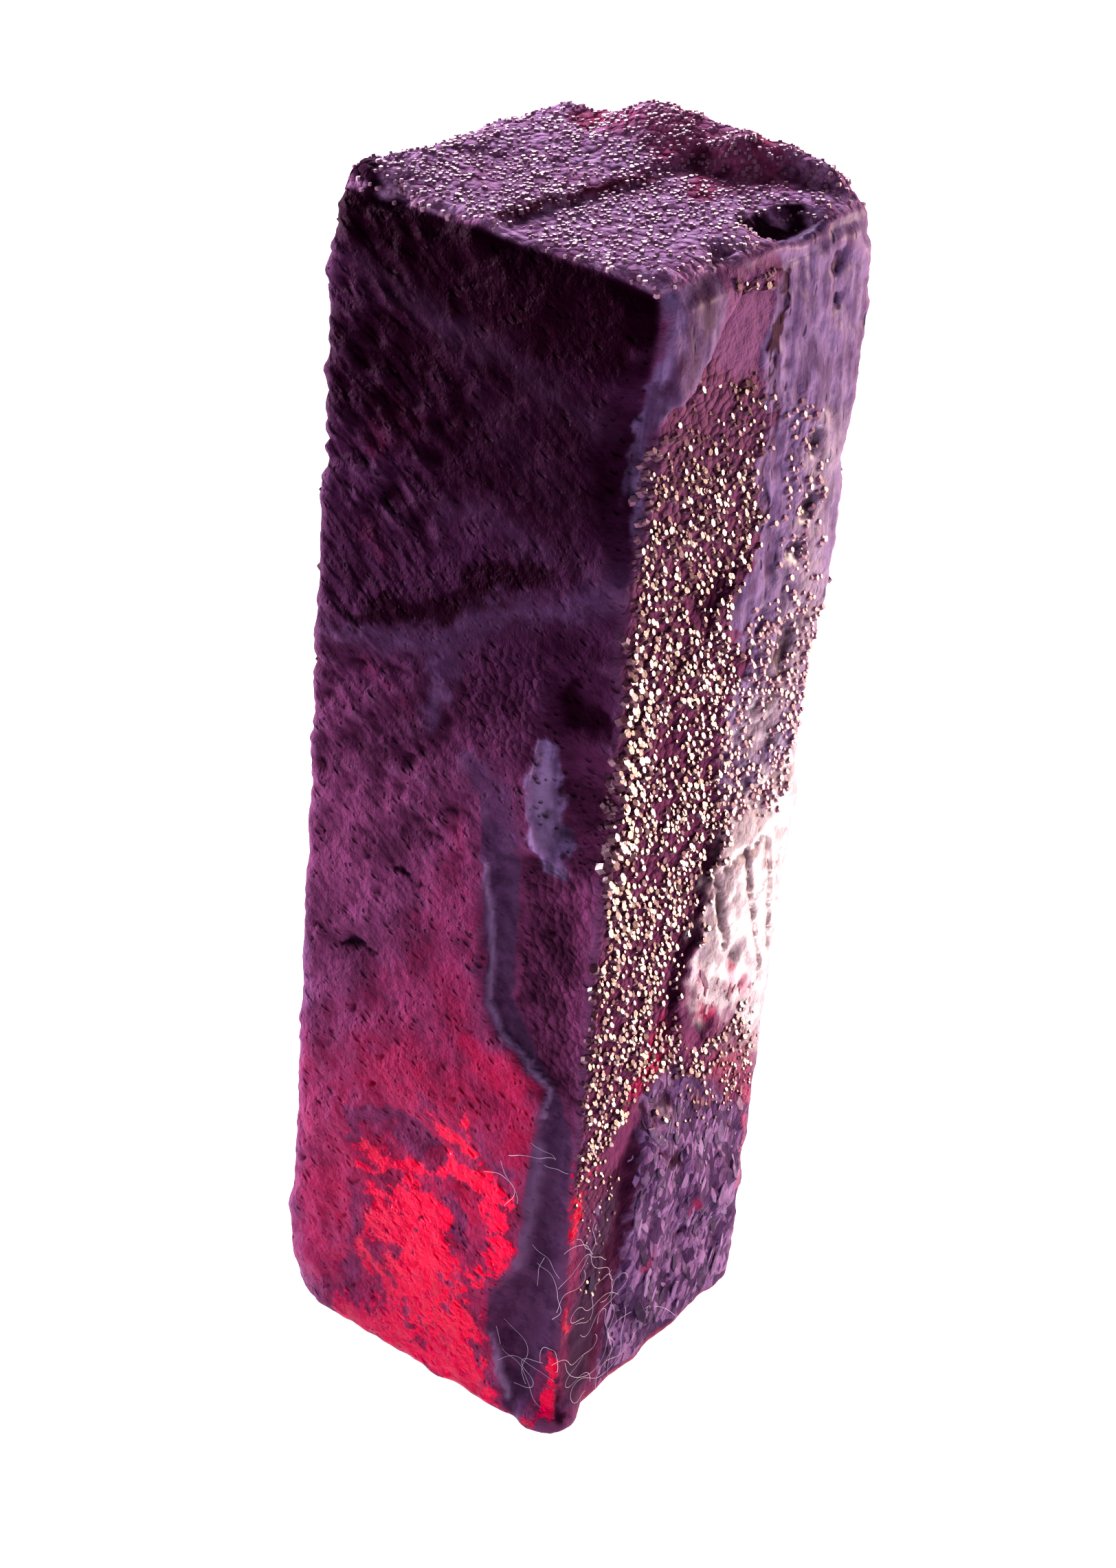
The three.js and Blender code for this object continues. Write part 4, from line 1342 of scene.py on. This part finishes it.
@dataclass
class CrystalBody:
    """The crystal itself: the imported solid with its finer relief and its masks."""

    MASKS = (*MARKS, "top", "pitted", "deep", "dusk", "far", "hollow", "crest")

    voxel: float = 0.14
    smoothing: int = 3
    grain_size: float = 0.3
    pit_spacing: float = 0.62
    scale_size: float = 0.95
    broadening: int = 14
    hollow_depth: tuple[float, float] = (0.015, 0.09)
    crest_height: tuple[float, float] = (0.02, 0.12)
    deep_below: tuple[float, float] = (31.0, 25.0)
    dusk_above: tuple[float, float] = (17.0, 26.0)
    most_sunken: float = -0.4
    most_raised: float = 0.16
    finish: BerylFinish = BerylFinish()
    skin: Skin = field(init=False)
    masks: dict[str, np.ndarray] = field(init=False)
    moved: np.ndarray = field(init=False)
    normals: np.ndarray = field(init=False)

    def remeshed(self) -> bpy.types.Mesh:
        """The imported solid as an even, fine mesh in millimetres.

        Returns:
            A mesh whose points are about one voxel apart.
        """
        shape = bmesh.new()
        shape.from_mesh(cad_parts["crystal"].data)
        bmesh.ops.remove_doubles(shape, verts=shape.verts, dist=1e-7)
        bmesh.ops.scale(shape, vec=Vector((1, 1, 1)) / MILLIMETRE, verts=shape.verts)
        coarse = bpy.data.meshes.new("coarse")
        shape.to_mesh(coarse)
        shape.free()
        holder = bpy.data.objects.new("holder", coarse)
        bpy.context.collection.objects.link(holder)
        remesh = holder.modifiers.new("even", "REMESH")
        remesh.mode = "VOXEL"
        remesh.voxel_size = self.voxel
        remesh.use_smooth_shade = True
        evened = bpy.data.meshes.new_from_object(
            holder.evaluated_get(bpy.context.evaluated_depsgraph_get())
        )
        bpy.data.objects.remove(holder)
        soft = bmesh.new()
        soft.from_mesh(evened)
        for _ in range(self.smoothing):
            bmesh.ops.smooth_vert(
                soft, verts=soft.verts, factor=0.5, use_axis_x=True, use_axis_y=True, use_axis_z=True
            )
        soft.to_mesh(evened)
        soft.free()
        return evened

    def read_masks(self) -> None:
        """Works out every mask from the marks on the sides."""
        share, up = self.skin.share, self.skin.points[:, 2]
        self.masks = {name: self.skin.cover(marks) for name, marks in MARKS.items()}
        self.masks["top"] = share[T]
        self.masks["pitted"] = share[F] + share[B] + share[L]
        self.masks["deep"] = self.masks["grainy"] * fade(up, *self.deep_below) * (1 - share[T])
        # Painted shade: the front darkens upwards, from 17 to 26 mm up.
        self.masks["dusk"] = share[F] * fade(up, *self.dusk_above)
        # Painted shade: the back and left sides, darkened in the colour.
        self.masks["far"] = share[B] + share[L]

    def read_hollows(self, mesh: bpy.types.Mesh) -> None:
        """Finds the hollows and crests: points under and over the broad shape round them.

        Args:
            mesh: The mesh whose points have been moved, for its edges.
        """
        ends = np.empty(len(mesh.edges) * 2, np.int64)
        mesh.edges.foreach_get("vertices", ends)
        first, second, count = ends[::2], ends[1::2], len(self.moved)
        neighbours = np.bincount(ends, minlength=count)
        broad = self.moved.copy()
        for _ in range(self.broadening):
            for axis in range(3):
                here = broad[:, axis]
                total = np.bincount(first, here[second], count) + np.bincount(second, here[first], count)
                broad[:, axis] = total / neighbours
        depth = ((broad - self.moved) * self.normals).sum(1)
        self.masks["hollow"] = fade(depth, *self.hollow_depth)
        self.masks["crest"] = fade(-depth, *self.crest_height)

    def slanting(self, along: float, across: float, angle: float) -> np.ndarray:
        """The points squeezed so that noise comes out long, falling sideways at an angle.

        Args:
            along: How long the noise gets along that line.
            across: How wide it gets across it.
            angle: How steeply the line falls, in radians.

        Returns:
            The squeezed points.
        """
        x, y, z = self.skin.points.T
        flat, steep = math.cos(angle), math.sin(angle)
        side = x + y
        return np.stack(
            [(side * flat - z * steep) / along, (side * steep + z * flat) / across, (x - y) * 0.1], 1
        )

    def sheared(self, across: float, up: float, slant: float) -> np.ndarray:
        """The points squeezed so that noise comes out long and slanting on the sides.

        Args:
            across: How long the noise gets sideways.
            up: How long it gets upwards.
            slant: How far it leans, sideways for each millimetre upwards.

        Returns:
            The squeezed points.
        """
        x, y, z = self.skin.points.T
        return np.stack([(x - slant * z) / across, (y - slant * z) / across, z / up], 1)

    def hummocks(self, plain: np.ndarray) -> np.ndarray:
        """The bare skin's slanting hummocks above, scallops across the middle and lumps below.

        Args:
            plain: How bare of films and plates each point is, from 0 to 1.

        Returns:
            The heights in millimetres, shape (n,).
        """
        points, share, masks = self.skin.points, self.skin.share, self.masks
        x, y, z = points.T
        ridged = masks["pitted"] * fade(z, 25.5, 28.5) * (1 - masks["film"] * 0.8)
        ridged *= np.where(y < 0, fade(x, 1.6, -1.2), 1)
        scalloped = masks["pitted"] * fade(z, 16.5, 19.5) * fade(z, 25.0, 23.0) * fade(x, 2.6, 0.6)
        lumpy = share[F] * fade(x, -2.4, -4.0) * fade(z, 16, 12)
        height = 0.035 * rough(points, 0.6, 11, 2) * (0.35 + 0.65 * plain)
        height += 0.13 * ridged * rough(self.slanting(0.85, 0.5, 0.5), 1.0, 23, 2)
        height += 0.09 * scalloped * rough(self.slanting(0.9, 0.4, 0.15), 1.0, 31, 2)
        height += 0.03 * masks["pitted"] * fade(z, 20, 16) * rough(points, 0.9, 37)
        return height + 0.05 * lumpy * rough(points, 0.5, 43, 2)

    def pits(self, plain: np.ndarray) -> np.ndarray:
        """The bare skin's round pits.

        Args:
            plain: How bare of films and plates each point is, from 0 to 1.

        Returns:
            The depths in millimetres, shape (n,).
        """
        holes = Grains.packed(self.skin.points, self.pit_spacing, 41)
        wide = 0.12 + 0.12 * holes.mark[:, 0]
        lower = 0.25 + 0.75 * fade(self.skin.points[:, 2], 20, 17)
        present = (holes.mark[:, 1] > 0.35) * self.masks["pitted"] * lower
        return 0.1 * present * fade(holes.reach, wide, wide * 0.35) * plain

    def granules(self) -> np.ndarray:
        """The granular skin's tilted domes.

        Returns:
            The heights in millimetres, shape (n,).
        """
        domes = Grains.packed(self.skin.points, self.grain_size, 53)
        tilt = ((domes.mark - 0.5) * domes.away).sum(1)
        uneven = 0.06 * rough(self.skin.points, 1.1, 59)
        return self.masks["grainy"] * (0.08 * (0.5 - domes.reach**2) + 0.04 * tilt + uneven)

    def scoring(self) -> np.ndarray:
        """The plates' upright scores and dents.

        Returns:
            The heights in millimetres, shape (n,).
        """
        points, bright = self.skin.points, self.masks["bright"]
        scored = self.masks["plate"] * (1 - bright * 0.6)
        height = 0.035 * scored * rough(self.sheared(0.34, 2.6, -0.12), 1.0, 61, 2)
        height += 0.05 * scored * rough(points, 0.45, 67, 2)
        return height + 0.03 * bright * rough(points, 1.3, 71, 2)

    def scales(self) -> np.ndarray:
        """The tilted scales near the foot.

        Returns:
            The heights in millimetres, shape (n,).
        """
        flakes = Grains.packed(self.sheared(1.0, 1.5, -0.2), self.scale_size, 73)
        lean = ((flakes.mark - 0.5) * flakes.away).sum(1)
        return self.masks["scale"] * (0.1 * (flakes.mark[:, 0] - 0.5) + 0.1 * lean)

    def steps(self) -> np.ndarray:
        """Eases the right side's steps, opens the cracks and raises the fringe.

        Returns:
            The heights in millimetres, shape (n,).
        """
        share, masks = self.skin.share, self.masks
        x, y, z = self.skin.points.T
        stepped = share[R] * fade(z, 17.6, 19.8) * fade(z, 36.4, 35.6)
        height = 0.04 * masks["fringe"] + 0.15 * stepped * fade(x, 5.2, 5.0) * fade(y, -2.4, 0.1)
        height -= 0.2 * stepped * fade(x, 5.1, 5.3) * fade(y, 3.0, 0.9) * fade(y, -0.8, 0.2)
        cracks = 0.16 * masks["groove"] * (1 - 1.6 * share[T])
        return height - cracks - 0.05 * masks["dark"] * share[F]

    def relief(self) -> np.ndarray:
        """How far each point moves outwards.

        Returns:
            The heights in millimetres, shape (n,).
        """
        plain = 1 - np.clip(self.masks["film"] * 0.7 + self.masks["plate"] * 0.6, 0, 0.9)
        height = self.hummocks(plain) - self.pits(plain) + self.granules()
        height += self.scoring() + self.scales() + self.steps()
        return np.clip(height, self.most_sunken, self.most_raised)

    def build(self) -> bpy.types.Object:
        """Makes the piece.

        Returns:
            The crystal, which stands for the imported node.
        """
        mesh = self.remeshed()
        count = len(mesh.vertices)
        flat = np.empty(count * 3)
        mesh.vertices.foreach_get("co", flat)
        points = flat.reshape(-1, 3)
        normals = np.empty(count * 3)
        mesh.vertex_normals.foreach_get("vector", normals)
        self.skin = Skin(points)
        self.read_masks()
        self.normals = normals.reshape(-1, 3)
        self.moved = points + self.normals * self.relief()[:, None]
        self.moved[:, 2] = np.maximum(self.moved[:, 2], 0.0)
        mesh.vertices.foreach_set("co", self.moved.ravel())
        self.read_hollows(mesh)
        for name, values in self.masks.items():
            keep_values(mesh, name, values)
        mesh.shade_smooth()
        in_metres(mesh)
        piece = finished("beryl_crystal", mesh, self.finish.material())
        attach(piece, "root")
        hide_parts("crystal")
        log.info("beryl_crystal: %d points, %d faces", count, len(mesh.polygons))
        return piece


@dataclass
class SugarGrains:
    """Small flat-topped grains on the granular skin, which all face one way on each side.

    A grain starts only within core of a middle, in spacings. facing is which way the grains of
    each side look.
    """

    crystal: CrystalBody
    spacing: float = 0.16
    core: float = 0.6
    smallest: float = 0.05
    largest: float = 0.118
    less_on_top: float = 0.35
    more_by_corner: float = 0.45
    less_at_foot: float = 0.4
    taper: float = 0.8
    stands_out: float = 0.015
    unrest: float = 0.085
    seed: int = 7
    finish: SugarFinish = SugarFinish()
    facing: tuple[tuple[Side, tuple[float, float, float]], ...] = (
        (Side.RIGHT, (0.853, 0.10, 0.51)),
        (Side.TOP, (-0.07, -0.07, 0.99)),
        (Side.BACK, (0.1, 0.86, 0.5)),
        (Side.LEFT, (-0.86, -0.1, 0.5)),
        (Side.FRONT, (-0.1, -0.86, 0.5)),
    )

    def density(self) -> np.ndarray:
        """Where grains grow.

        Returns:
            The chance of a grain at each point of the skin, shape (n,).
        """
        points, masks, share = self.crystal.skin.points, self.crystal.masks, self.crystal.skin.share
        clumps = 0.85 + 0.7 * rough(points, 1.3, 97, 2)
        rising = 0.12 + 0.88 * fade(points[:, 2], 33.6, 29.0) + 0.8 * fade(points[:, 2], 34.4, 34.8)
        thinning = np.where(share[T] > 0.5, 0.9, rising)
        open_ground = (1 - 0.8 * masks["dark"]) * (1 - 0.5 * masks["hollow"])
        return masks["grainy"] ** 1.5 * thinning * clumps * open_ground

    def turns(self, picked: np.ndarray, draw: np.random.Generator) -> np.ndarray:
        """How the grains are turned: nearly one way on each side.

        Args:
            picked: The skin's points that carry a grain.
            draw: The random numbers.

        Returns:
            Each grain's own three axes, shape (n, 3, 3).
        """
        cap = draw.normal(0, self.unrest, (len(picked), 3))
        for side, way in self.facing:
            cap += self.crystal.skin.share[side][picked, None] * np.array(way)
        cap = unit(cap)
        first_way = unit(np.cross(cap, draw.normal(size=cap.shape)))
        return np.stack([first_way, np.cross(cap, first_way), cap], 1)

    def sizes(self, picked: np.ndarray, draw: np.random.Generator) -> np.ndarray:
        """How large the grains are: smaller on top and at the foot, larger by the front corner.

        Args:
            picked: The skin's points that carry a grain.
            draw: The random numbers.

        Returns:
            Each grain's size along its axes, shape (n, 1, 3).
        """
        sizes = draw.uniform(self.smallest, self.largest, (len(picked), 1, 1)) * draw.uniform(
            (0.85, 0.85, 1.2), (1.2, 1.2, 1.8), (len(picked), 1, 3)
        )
        _, across, up = self.crystal.moved[picked].T
        by_corner = fade(across, -2.8, -4.2) * fade(up, 15, 18) * fade(up, 28, 25)
        sizes *= 1 - self.less_on_top * self.crystal.masks["top"][picked, None, None]
        sizes *= 1 + self.more_by_corner * by_corner[:, None, None]
        return sizes * (1 - self.less_at_foot * fade(up, 10.5, 8.5)[:, None, None])

    def build(self) -> bpy.types.Object:
        """Makes the piece.

        Returns:
            All the grains as one mesh.
        """
        packed = Grains.packed(self.crystal.moved, self.spacing, 83)
        picked = packed.chosen(self.core, self.density())
        points, normals = self.crystal.moved[picked], self.crystal.normals[picked]
        corners, faces = blunt_cone(6, self.taper)
        draw = np.random.default_rng(self.seed)
        count = len(picked)
        turns = self.turns(picked, draw)
        shapes = (corners[None] * self.sizes(picked, draw)) @ turns
        middles = points + normals * self.stands_out * draw.uniform(-0.4, 1.0, (count, 1))
        middles += np.cross(normals, draw.normal(0, 0.05, (count, 3)))
        mesh = many_copies("grains", shapes + middles[:, None, :], faces)
        masks = self.crystal.masks
        pale = np.maximum(masks["top"], masks["plate"] * 0.8)[picked]
        keep_values(mesh, "pale", np.repeat(pale, len(corners)))
        in_metres(mesh)
        piece = finished("sugar_grains", mesh, self.finish.material())
        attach(piece, "root")
        log.info("sugar_grains: %d grains, %d faces", count, len(mesh.polygons))
        return piece


@dataclass
class FootFlakes:
    """Thin pointed flakes that overlap near the foot and under the brightest plate.

    Width and height are half sizes. outline is how far each corner may come in or go out, and
    depth how far a flake lies under or over the skin.
    """

    crystal: CrystalBody
    spacing: float = 0.27
    core: float = 0.4
    width: tuple[float, float] = (0.05, 0.2)
    height: tuple[float, float] = (0.12, 0.85)
    thickness: float = 0.03
    taper: float = 0.86
    lift: float = 0.05
    lean: float = 0.4
    outline: tuple[float, float] = (0.65, 1.25)
    depth: tuple[float, float] = (-0.03, 0.015)
    seed: int = 19
    finish: FlakeFinish = FlakeFinish()
    shattered: tuple[Streak, ...] = (
        Streak(R, ((0.6, 13.4, 0.5), (2.0, 12.4, 0.8), (3.4, 11.0, 0.8), (4.2, 9.0, 0.6)), 1.0, 0.8),
        Streak(R, ((0.2, 11.6, 0.4), (1.0, 10.6, 0.8), (2.4, 9.4, 0.9), (3.6, 8.4, 0.8)), 1.0, 0.8),
    )

    def turns(self, outward: np.ndarray, draw: np.random.Generator) -> np.ndarray:
        """How the flakes are turned: flat on the skin, and more or less upright.

        Args:
            outward: The way out of the skin at each flake, shape (n, 3).
            draw: The random numbers.

        Returns:
            Each flake's own three axes, shape (n, 3, 3).
        """
        up, count = np.array((0.0, 0.0, 1.0)), len(outward)
        turn = draw.normal(0, self.lean, (count, 1))
        upward = up * np.cos(turn) + np.cross(outward, up) * np.sin(turn)
        outward = outward + upward * draw.normal(0.1, self.lift, (count, 1))
        outward = unit(outward + draw.normal(0, self.lift * 0.5, (count, 3)))
        across = unit(np.cross(upward, outward))
        return np.stack([across, np.cross(outward, across), outward], 1)

    def sizes(self, count: int, draw: np.random.Generator) -> np.ndarray:
        """How large the flakes are.

        Args:
            count: How many flakes there are.
            draw: The random numbers.

        Returns:
            Their half widths, half heights and thicknesses, shape (n, 3).
        """
        size = draw.uniform(0, 1, (count, 1)) ** 2
        width = self.width[0] + size * (self.width[1] - self.width[0])
        reach = (self.height[1] - self.height[0]) * draw.uniform(0.6, 1, (count, 1))
        return np.concatenate(
            [width, self.height[0] + size * reach, np.full((count, 1), self.thickness)], 1
        )

    def build(self) -> bpy.types.Object:
        """Makes the piece.

        Returns:
            All the flakes as one mesh.
        """
        body = self.crystal
        x, y, z = abs(body.moved.T)
        bright = body.skin.cover(self.shattered)
        flat = np.maximum(body.skin.share[R], body.skin.share[B])
        off_corners = fade(np.maximum(HALF_WIDTH - x, HALF_DEPTH - y), 0.6, 1.0)
        here = np.maximum(body.masks["scale"], bright) * fade(flat, 0.8, 0.99) * off_corners
        chance = here**2 * fade(z, 0.8, 1.6) * (0.4 + 0.6 * bright)
        picked = Grains.packed(body.moved, self.spacing, 89).chosen(self.core, chance)
        count = len(picked)
        draw = np.random.default_rng(self.seed)
        turns = self.turns(body.normals[picked], draw)
        corners, faces = blunt_cone(6, self.taper)
        around = np.round(np.arctan2(corners[:, 1], corners[:, 0]) / (math.pi / 3)).astype(int) % 6
        shapes = np.repeat(corners[None], count, 0)
        shapes[:, :, :2] *= draw.uniform(*self.outline, (count, 6))[:, around, None]
        sizes = self.sizes(count, draw) * (1 - 0.4 * bright[picked, None])
        sizes[:, :2] *= 0.5 + 0.5 * fade(flat[picked, None], 0.9, 1.0)
        middles = body.moved[picked] + body.normals[picked] * draw.uniform(*self.depth, (count, 1))
        mesh = many_copies("flakes", (shapes * sizes[:, None, :]) @ turns + middles[:, None, :], faces)
        points = np.array([v.co for v in mesh.vertices])
        points[:, 2] = np.maximum(points[:, 2], 0.0)
        mesh.vertices.foreach_set("co", points.ravel())
        # Where the flakes turn cream and pink under the brightest plate; the cream is painted glare.
        keep_values(mesh, "bright", np.repeat(bright[picked], len(corners)))
        keep_values(mesh, "pale", np.repeat(draw.uniform(0, 1, count), len(corners)))
        in_metres(mesh)
        piece = finished("foot_flakes", mesh, self.finish.material())
        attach(piece, "root")
        log.info("foot_flakes: %d flakes, %d faces", count, len(mesh.polygons))
        return piece


@dataclass
class Lint:
    """White fibres that cling to the foot."""

    crystal: CrystalBody
    thickness: float = 0.011
    step: float = 0.14
    gap: float = 0.03
    loft: float = 0.07
    easing: int = 5
    lowest: float = 0.1
    highest: float = 14.0
    reach: tuple[float, float] = (-4.9, 5.0)
    seed: int = 11
    finish: LintFinish = LintFinish()
    big_loop: tuple[tuple[float, float], ...] = (
        (1.5, 0.8), (1.0, 1.4), (0.5, 1.85), (-0.2, 2.3), (-1.0, 2.65), (-1.7, 2.75),
        (-2.15, 2.65), (-2.1, 1.9), (-2.3, 1.45), (-2.8, 1.3), (-3.5, 1.6), (-4.1, 2.15), (-4.2, 2.7),
    )
    tangles: tuple[tuple[Side, tuple[float, float], tuple[float, float], int, float], ...] = (
        (Side.RIGHT, (-3.2, 3.2), (1.2, 1.6), 8, 4.6),
        (Side.RIGHT, (-0.8, 1.8), (1.6, 0.9), 3, 5.5),
        (Side.RIGHT, (-3.9, 6.0), (0.6, 1.4), 4, 2.6),
        (Side.FRONT, (3.9, 2.8), (0.8, 1.2), 5, 3.0),
        (Side.FRONT, (2.7, 8.5), (0.3, 0.3), 2, 1.6),
        (Side.FRONT, (4.0, 9.9), (0.4, 0.4), 3, 1.8),
        (Side.FRONT, (4.3, 5.8), (0.3, 1.0), 3, 2.2),
    )

    def path(self, draw: np.random.Generator, middle: np.ndarray, length: float) -> np.ndarray:
        """A smooth, slowly curling path on a flat side.

        Args:
            draw: The random numbers.
            middle: The place it curls round, across and up.
            length: Its length.

        Returns:
            The points that it passes, across and up.
        """
        count = int(length / self.step)
        along = np.linspace(0, 2 * math.pi, count)
        turn = sum(
            draw.uniform(-1, 1) * np.sin(along * wave + draw.uniform(0, 6.28)) for wave in (0.6, 1.7, 3.1)
        )
        heading = draw.uniform(0, 6.28) + np.cumsum(turn * draw.uniform(0.22, 0.45))
        steps = self.step * np.stack([np.cos(heading), np.sin(heading)], 1)
        return middle + np.cumsum(steps, axis=0) - steps.sum(0) / 2

    def clung(self, side: Side, path: np.ndarray, draw: np.random.Generator) -> np.ndarray:
        """Lays a path on the crystal's own surface.

        Args:
            side: The side it clings to.
            path: Its points, across and up.
            draw: The random numbers.

        Returns:
            The points in space.
        """
        skin = self.crystal.skin
        near = np.flatnonzero((skin.share[side] > 0.3) & (skin.points[:, 2] < self.highest))
        spots = self.crystal.moved[near]
        axes = list(side.axes)
        lift = 3 - sum(axes)
        out = 1.0 if side is Side.RIGHT else -1.0
        placed = np.zeros((len(path), 3))
        placed[:, axes] = path
        placed[:, 2] = np.maximum(placed[:, 2], self.lowest)
        for row in placed:
            nearest = np.argmin(((spots[:, axes] - row[axes]) ** 2).sum(1))
            row[lift] = spots[nearest, lift]
        padded = np.pad(placed[:, lift], self.easing // 2, "edge")
        eased = np.convolve(padded, np.ones(self.easing) / self.easing, "valid")
        waves = np.sin(np.linspace(0, draw.uniform(6, 14), len(path)) + draw.uniform(0, 6.28))
        placed[:, lift] = eased + out * (self.gap + self.loft * (0.5 + 0.5 * waves))
        return placed

    def build(self) -> bpy.types.Object:
        """Makes the piece.

        Returns:
            All the fibres as one mesh.
        """
        draw = np.random.default_rng(self.seed)
        paths = [self.clung(Side.RIGHT, np.array(self.big_loop), draw)]
        for side, middle, spread, count, length in self.tangles:
            for _ in range(count):
                place = np.array(middle) + draw.uniform(-1, 1, 2) * spread
                path = self.path(draw, place, length * draw.uniform(0.6, 1.2))
                inner = (path[:, 0] > self.reach[0]) & (path[:, 0] < self.reach[1])
                inner &= path[:, 1] > self.lowest * 1.5
                if inner.sum() > self.easing:
                    paths.append(self.clung(side, path[inner], draw))
        curve = bpy.data.curves.new("fibres", "CURVE")
        curve.dimensions = "3D"
        curve.bevel_depth = self.thickness / 2
        curve.bevel_resolution = 1
        curve.use_fill_caps = True
        for path in paths:
            spline = curve.splines.new("NURBS")
            spline.points.add(len(path) - 1)
            for point, place in zip(spline.points, path):
                point.co = (*place, 1.0)
            spline.order_u = 4
            spline.use_endpoint_u = True
            spline.resolution_u = 3
        holder = bpy.data.objects.new("fibres", curve)
        mesh = bpy.data.meshes.new_from_object(holder)
        bpy.data.objects.remove(holder)
        mesh.shade_smooth()
        in_metres(mesh)
        piece = finished("lint", mesh, self.finish.material())
        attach(piece, "root")
        log.info("lint: %d fibres, %d faces", len(paths), len(mesh.polygons))
        return piece


# ---------------------------------------------------------------- studio


@dataclass(frozen=True)
class Lamp:
    """One soft rectangular light, placed and aimed in millimetres."""

    name: str
    place: tuple[float, float, float]
    aim: tuple[float, float, float]
    size: tuple[float, float]
    radiance: float
    colour: tuple[float, float, float]

    def hang(self) -> None:
        """Puts the light in the scene, hidden from the camera itself."""
        light = bpy.data.lights.new(self.name, "AREA")
        light.shape = "RECTANGLE"
        light.size, light.size_y = (side * MILLIMETRE for side in self.size)
        light.energy = self.radiance * math.pi * light.size * light.size_y
        light.color = self.colour
        lamp = bpy.data.objects.new(self.name, light)
        bpy.context.collection.objects.link(lamp)
        place, aim = Vector(self.place) * MILLIMETRE, Vector(self.aim) * MILLIMETRE
        lamp.location = place
        lamp.rotation_euler = (aim - place).to_track_quat("-Z", "Y").to_euler()
        lamp.visible_camera = False


@dataclass
class Studio:
    """The floor, the soft lights and the camera; seen is how near and far it sees, in metres."""

    floor_radius: float = 1500.0
    floor_drop: float = 0.03
    sky: tuple = (0.80, 0.78, 0.88, 1.0)
    sky_strength: float = 0.28
    eye: tuple[float, float, float] = (39.296, -56.964, 59.947)
    azimuth: float = 34.507
    elevation: float = 30.973
    roll: float = 4.7995
    lens: float = 66.093
    seen: tuple[float, float] = (0.005, 10.0)
    floor_finish: FloorFinish = FloorFinish()
    lamps: tuple[Lamp, ...] = (
        Lamp("back_sky", (-75, 95, 110), (0, 0, 30), (64, 46), 19.0, (0.97, 0.92, 1.0)),
        Lamp("low_sun", (70, 105, 26), (4, 0, 18), (48, 32), 33.0, (1.0, 0.80, 0.58)),
        Lamp("floor_gleam", (17, 23, 0.6), (17, 23, 30), (9, 16), 6.0, (1.0, 0.95, 0.92)),
        Lamp("left_wash", (-110, -24, 30), (0, 0, 18), (36, 36), 44.0, (1.0, 0.97, 1.0)),
    )

    def lay_floor(self) -> None:
        """Lays the pale floor."""
        shape = bmesh.new()
        bmesh.ops.create_circle(shape, cap_ends=True, segments=128, radius=self.floor_radius)
        bmesh.ops.translate(shape, vec=(0, 0, -self.floor_drop), verts=shape.verts)
        mesh = bpy.data.meshes.new("floor")
        shape.to_mesh(mesh)
        shape.free()
        in_metres(mesh)
        finished("floor", mesh, self.floor_finish.material())

    def light(self) -> None:
        """Sets the sky and hangs the lamps."""
        world = bpy.data.worlds.new("sky")
        world.use_nodes = True
        background = world.node_tree.nodes["Background"]
        background.inputs["Color"].default_value = self.sky
        background.inputs["Strength"].default_value = self.sky_strength
        bpy.context.scene.world = world
        for lamp in self.lamps:
            lamp.hang()

    def set_camera(self) -> None:
        """Aims the camera."""
        around, above, tip = map(math.radians, (self.azimuth, self.elevation, self.roll))
        back = Vector(
            (
                math.sin(around) * math.cos(above),
                -math.cos(around) * math.cos(above),
                math.sin(above),
            )
        )
        level = Vector((math.cos(around), math.sin(around), 0))
        upright = back.cross(level)
        right = math.cos(tip) * level + math.sin(tip) * upright
        up = math.cos(tip) * upright - math.sin(tip) * level
        data = bpy.data.cameras.new("camera")
        data.lens = self.lens
        data.clip_start, data.clip_end = self.seen
        camera = bpy.data.objects.new("camera", data)
        bpy.context.collection.objects.link(camera)
        turn = Matrix((right, up, back)).transposed().to_4x4()
        camera.matrix_world = Matrix.Translation(Vector(self.eye) * MILLIMETRE) @ turn
        bpy.context.scene.camera = camera

    def build(self) -> None:
        """Builds the studio."""
        self.lay_floor()
        self.light()
        self.set_camera()
        bpy.context.scene.view_settings.view_transform = "Standard"
        bpy.context.scene.view_settings.look = "High Contrast"
        log.info("studio ready")


def main() -> None:
    """Builds the crystal, its grains, its flakes, its lint and the studio."""
    logging.basicConfig(level=logging.INFO, format="%(name)s: %(message)s")
    crystal = CrystalBody()
    crystal.build()
    SugarGrains(crystal).build()
    FootFlakes(crystal).build()
    Lint(crystal).build()
    Studio().build()


if __name__ == "__main__":
    main()
